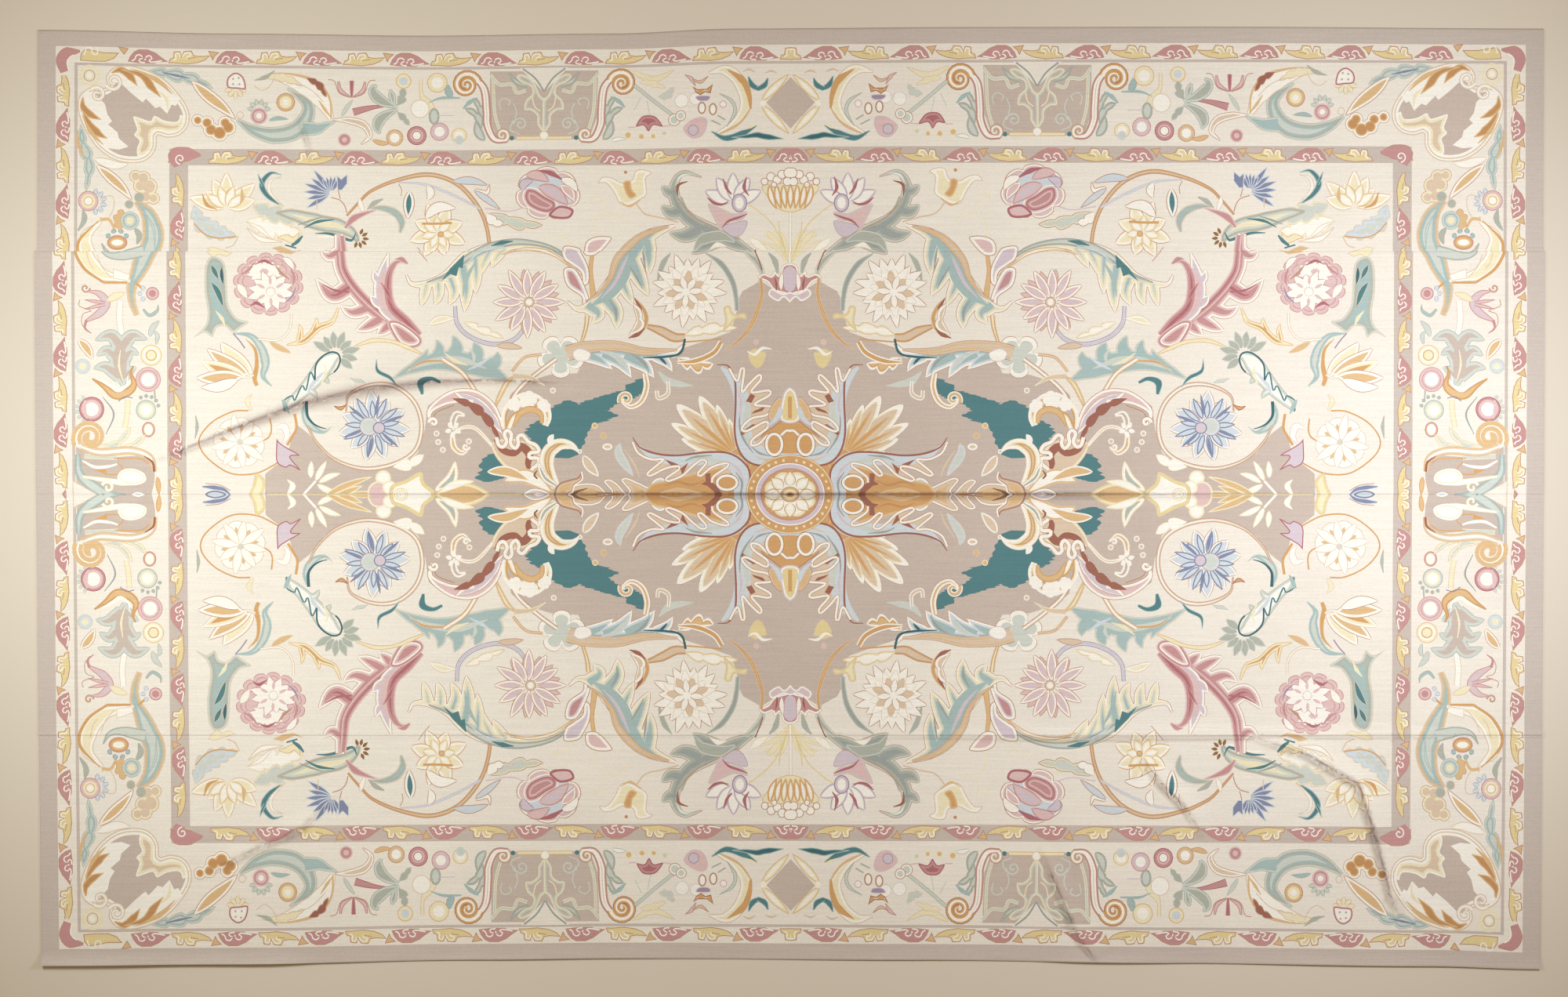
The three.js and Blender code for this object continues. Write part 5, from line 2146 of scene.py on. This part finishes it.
def wool_material(cloth):
    """Tent stitches of dyed wool.

    The yarn's colour is the corner colour. It is made lighter and darker by long streaks along the rows, by
    soft patches and by each stitch, and the stitches stand up as rounded grains slanted half a stitch a row.
    """
    material = bpy.data.materials.new("wool_needlepoint")
    material.use_nodes = True
    tree = material.node_tree
    shader = tree.nodes["Principled BSDF"]
    shader.inputs["Roughness"].default_value = 0.92
    shader.inputs["Specular IOR Level"].default_value = 0.15
    shader.inputs["Sheen Weight"].default_value = 0.12
    shader.inputs["Sheen Roughness"].default_value = 0.6
    # The corner colour carries the yarn and the creases' painted shade
    yarn = node(tree, "ShaderNodeAttribute", -1100, 300, attribute_name="wool")
    place = node(tree, "ShaderNodeTexCoord", -1700, -100).outputs["Object"]

    streaks_at = node(tree, "ShaderNodeMapping", -1400, 100)
    streaks_at.inputs["Scale"].default_value = (5, 190, 1)
    tree.links.new(place, streaks_at.inputs["Vector"])
    streaks = node(tree, "ShaderNodeTexNoise", -1100, 100)
    streaks.inputs["Scale"].default_value = 1.0
    streaks.inputs["Detail"].default_value = 3.0
    tree.links.new(streaks_at.outputs[0], streaks.inputs["Vector"])

    patches = node(tree, "ShaderNodeTexNoise", -1100, -100)
    patches.inputs["Scale"].default_value = 2.2
    patches.inputs["Detail"].default_value = 4.0
    tree.links.new(place, patches.inputs["Vector"])

    # Each stitch has a shade of its own
    snapped = node(tree, "ShaderNodeVectorMath", -1400, -300, operation="SNAP")
    tree.links.new(place, snapped.inputs[0])
    snapped.inputs[1].default_value = (cloth.stitch, cloth.stitch, 1.0)
    shades = node(tree, "ShaderNodeTexWhiteNoise", -1100, -300)
    tree.links.new(snapped.outputs[0], shades.inputs["Vector"])

    # Each of the three moves the tone up or down by half its share
    tone = maths(tree, "MULTIPLY_ADD", -800, 100, streaks.outputs["Fac"], 0.24, 0.88)
    lower = maths(tree, "SUBTRACT", -720, 40, tone, 0.06)
    tone = maths(tree, "MULTIPLY_ADD", -650, 0, patches.outputs["Fac"], 0.12, lower)
    lower = maths(tree, "SUBTRACT", -570, -60, tone, 0.05)
    tone = maths(tree, "MULTIPLY_ADD", -500, -100, shades.outputs["Value"], 0.1, lower)
    toned = node(tree, "ShaderNodeVectorMath", -300, 200, operation="SCALE")
    tree.links.new(yarn.outputs["Color"], toned.inputs[0])
    tree.links.new(tone, toned.inputs["Scale"])
    tree.links.new(toned.outputs[0], shader.inputs["Base Color"])

    # Grain of the stitches: sine of the place along the row times sine of the place across it
    parts = node(tree, "ShaderNodeSeparateXYZ", -1400, -600)
    tree.links.new(place, parts.inputs[0])
    turn = np.pi / cloth.stitch
    slanted = maths(tree, "MULTIPLY_ADD", -1200, -600, parts.outputs["Y"], 0.5, parts.outputs["X"])
    along = maths(tree, "SINE", -900, -600, maths(tree, "MULTIPLY", -1050, -600, slanted, turn))
    down = maths(tree, "SINE", -900, -760, maths(tree, "MULTIPLY", -1050, -760, parts.outputs["Y"], turn))
    grain = maths(tree, "ABSOLUTE", -600, -660, maths(tree, "MULTIPLY", -750, -660, along, down))
    bump = node(tree, "ShaderNodeBump", -300, -500)
    bump.inputs["Strength"].default_value = 0.5
    bump.inputs["Distance"].default_value = 0.0004
    tree.links.new(grain, bump.inputs["Height"])
    tree.links.new(bump.outputs[0], shader.inputs["Normal"])
    return material


class RUG_OT_panels(Operator):
    """Builds the four stitched panels over their CAD solids"""

    bl_idname = "rug.panels"
    bl_label = "Stitched panels"

    def execute(self, context):
        cloth = context.scene.rug_cloth
        yarns = context.scene.rug_yarns
        colours = np.array([tuple(getattr(yarns, name)) for name in YARN_NAMES])
        motifs = [(anticlockwise(outline), YARN_NUMBERS[yarn]) for outline, yarn in whole_chart()]
        quarter = charted_quarter(motifs)
        wool = wool_material(cloth)
        for panel in PANELS:
            piece = stitched_panel(panel, quarter, colours, cloth)
            piece.data.materials.append(wool)
            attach(piece, "root")
            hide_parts(panel.name)
        return {"FINISHED"}


def floor_piece(stage):
    """A level sheet 40 m square at height 0"""
    half = 20.0
    mesh = bpy.data.meshes.new("floor")
    corners = [(-half, -half, 0), (half, -half, 0), (half, half, 0), (-half, half, 0)]
    mesh.from_pydata(corners, [], [(0, 1, 2, 3)])
    floor = bpy.data.objects.new("floor", mesh)
    bpy.context.scene.collection.objects.link(floor)
    material = bpy.data.materials.new("pale_floor")
    material.use_nodes = True
    shader = material.node_tree.nodes["Principled BSDF"]
    shader.inputs["Base Color"].default_value = (*stage.floor_colour, 1)
    shader.inputs["Roughness"].default_value = 0.8
    shader.inputs["Specular IOR Level"].default_value = 0.2
    mesh.materials.append(material)
    return floor


def side_light(name, x, power, tint):
    """A soft light beyond one end of the rug, tipped towards its middle"""
    data = bpy.data.lights.new(name, "AREA")
    data.shape = "RECTANGLE"
    data.size = 1.0
    data.size_y = 0.8
    data.energy = power
    data.color = tint
    light = bpy.data.objects.new(name, data)
    light.location = (x, 0.2, 2.2)
    light.rotation_euler = (0.0, math.radians(73 if x > 0 else -73), 0.0)
    light.visible_camera = False
    bpy.context.scene.collection.objects.link(light)
    return light


class RUG_OT_stage(Operator):
    """Lays the floor, hangs the lights and sets the camera straight above the rug"""

    bl_idname = "rug.stage"
    bl_label = "Floor, light and camera"

    def execute(self, context):
        scene = context.scene
        stage = scene.rug_stage
        floor_piece(stage)
        side_light("left_light", -3.0, stage.side_power, stage.left_tint)
        side_light("right_light", 3.0, stage.side_power, stage.right_tint)
        world = bpy.data.worlds.new("studio")
        world.use_nodes = True
        sky = world.node_tree.nodes["Background"]
        sky.inputs["Color"].default_value = (1.0, 0.76, 0.48, 1)
        sky.inputs["Strength"].default_value = stage.sky_strength
        scene.world = world
        scene.view_settings.view_transform = "Standard"
        data = bpy.data.cameras.new("camera")
        data.sensor_width = 36
        data.lens = data.sensor_width * stage.camera_height / stage.view_width
        data.clip_end = 200
        camera = bpy.data.objects.new("camera", data)
        camera.location = (-0.0185, -0.001, stage.camera_height)
        scene.collection.objects.link(camera)
        scene.camera = camera
        return {"FINISHED"}


class RUG_PT_sidebar(Panel):
    """The rug's colours, sizes and steps"""

    bl_idname = "RUG_PT_sidebar"
    bl_label = "Needlepoint rug"
    bl_space_type = "VIEW_3D"
    bl_region_type = "UI"
    bl_category = "Rug"

    def draw(self, context):
        scene = context.scene
        for group, names in (
            (scene.rug_cloth, RugCloth.__annotations__),
            (scene.rug_yarns, RugYarns.__annotations__),
            (scene.rug_stage, RugStage.__annotations__),
        ):
            box = self.layout.box()
            for name in names:
                box.prop(group, name)
        self.layout.operator(RUG_OT_panels.bl_idname)
        self.layout.operator(RUG_OT_stage.bl_idname)


CLASSES = (RugYarns, RugCloth, RugStage, RUG_OT_panels, RUG_OT_stage, RUG_PT_sidebar)


def register():
    """Makes the panel, its operators and their properties known to Blender"""
    for cls in CLASSES:
        bpy.utils.register_class(cls)
    bpy.types.Scene.rug_yarns = PointerProperty(type=RugYarns)
    bpy.types.Scene.rug_cloth = PointerProperty(type=RugCloth)
    bpy.types.Scene.rug_stage = PointerProperty(type=RugStage)


def unregister():
    """Takes them away again"""
    del bpy.types.Scene.rug_stage
    del bpy.types.Scene.rug_cloth
    del bpy.types.Scene.rug_yarns
    for cls in reversed(CLASSES):
        bpy.utils.unregister_class(cls)


def main():
    """Builds everything in order: registers the add-on, then the panels and the stage"""
    register()
    bpy.ops.rug.panels()
    bpy.ops.rug.stage()


if __name__ == "__main__":
    main()
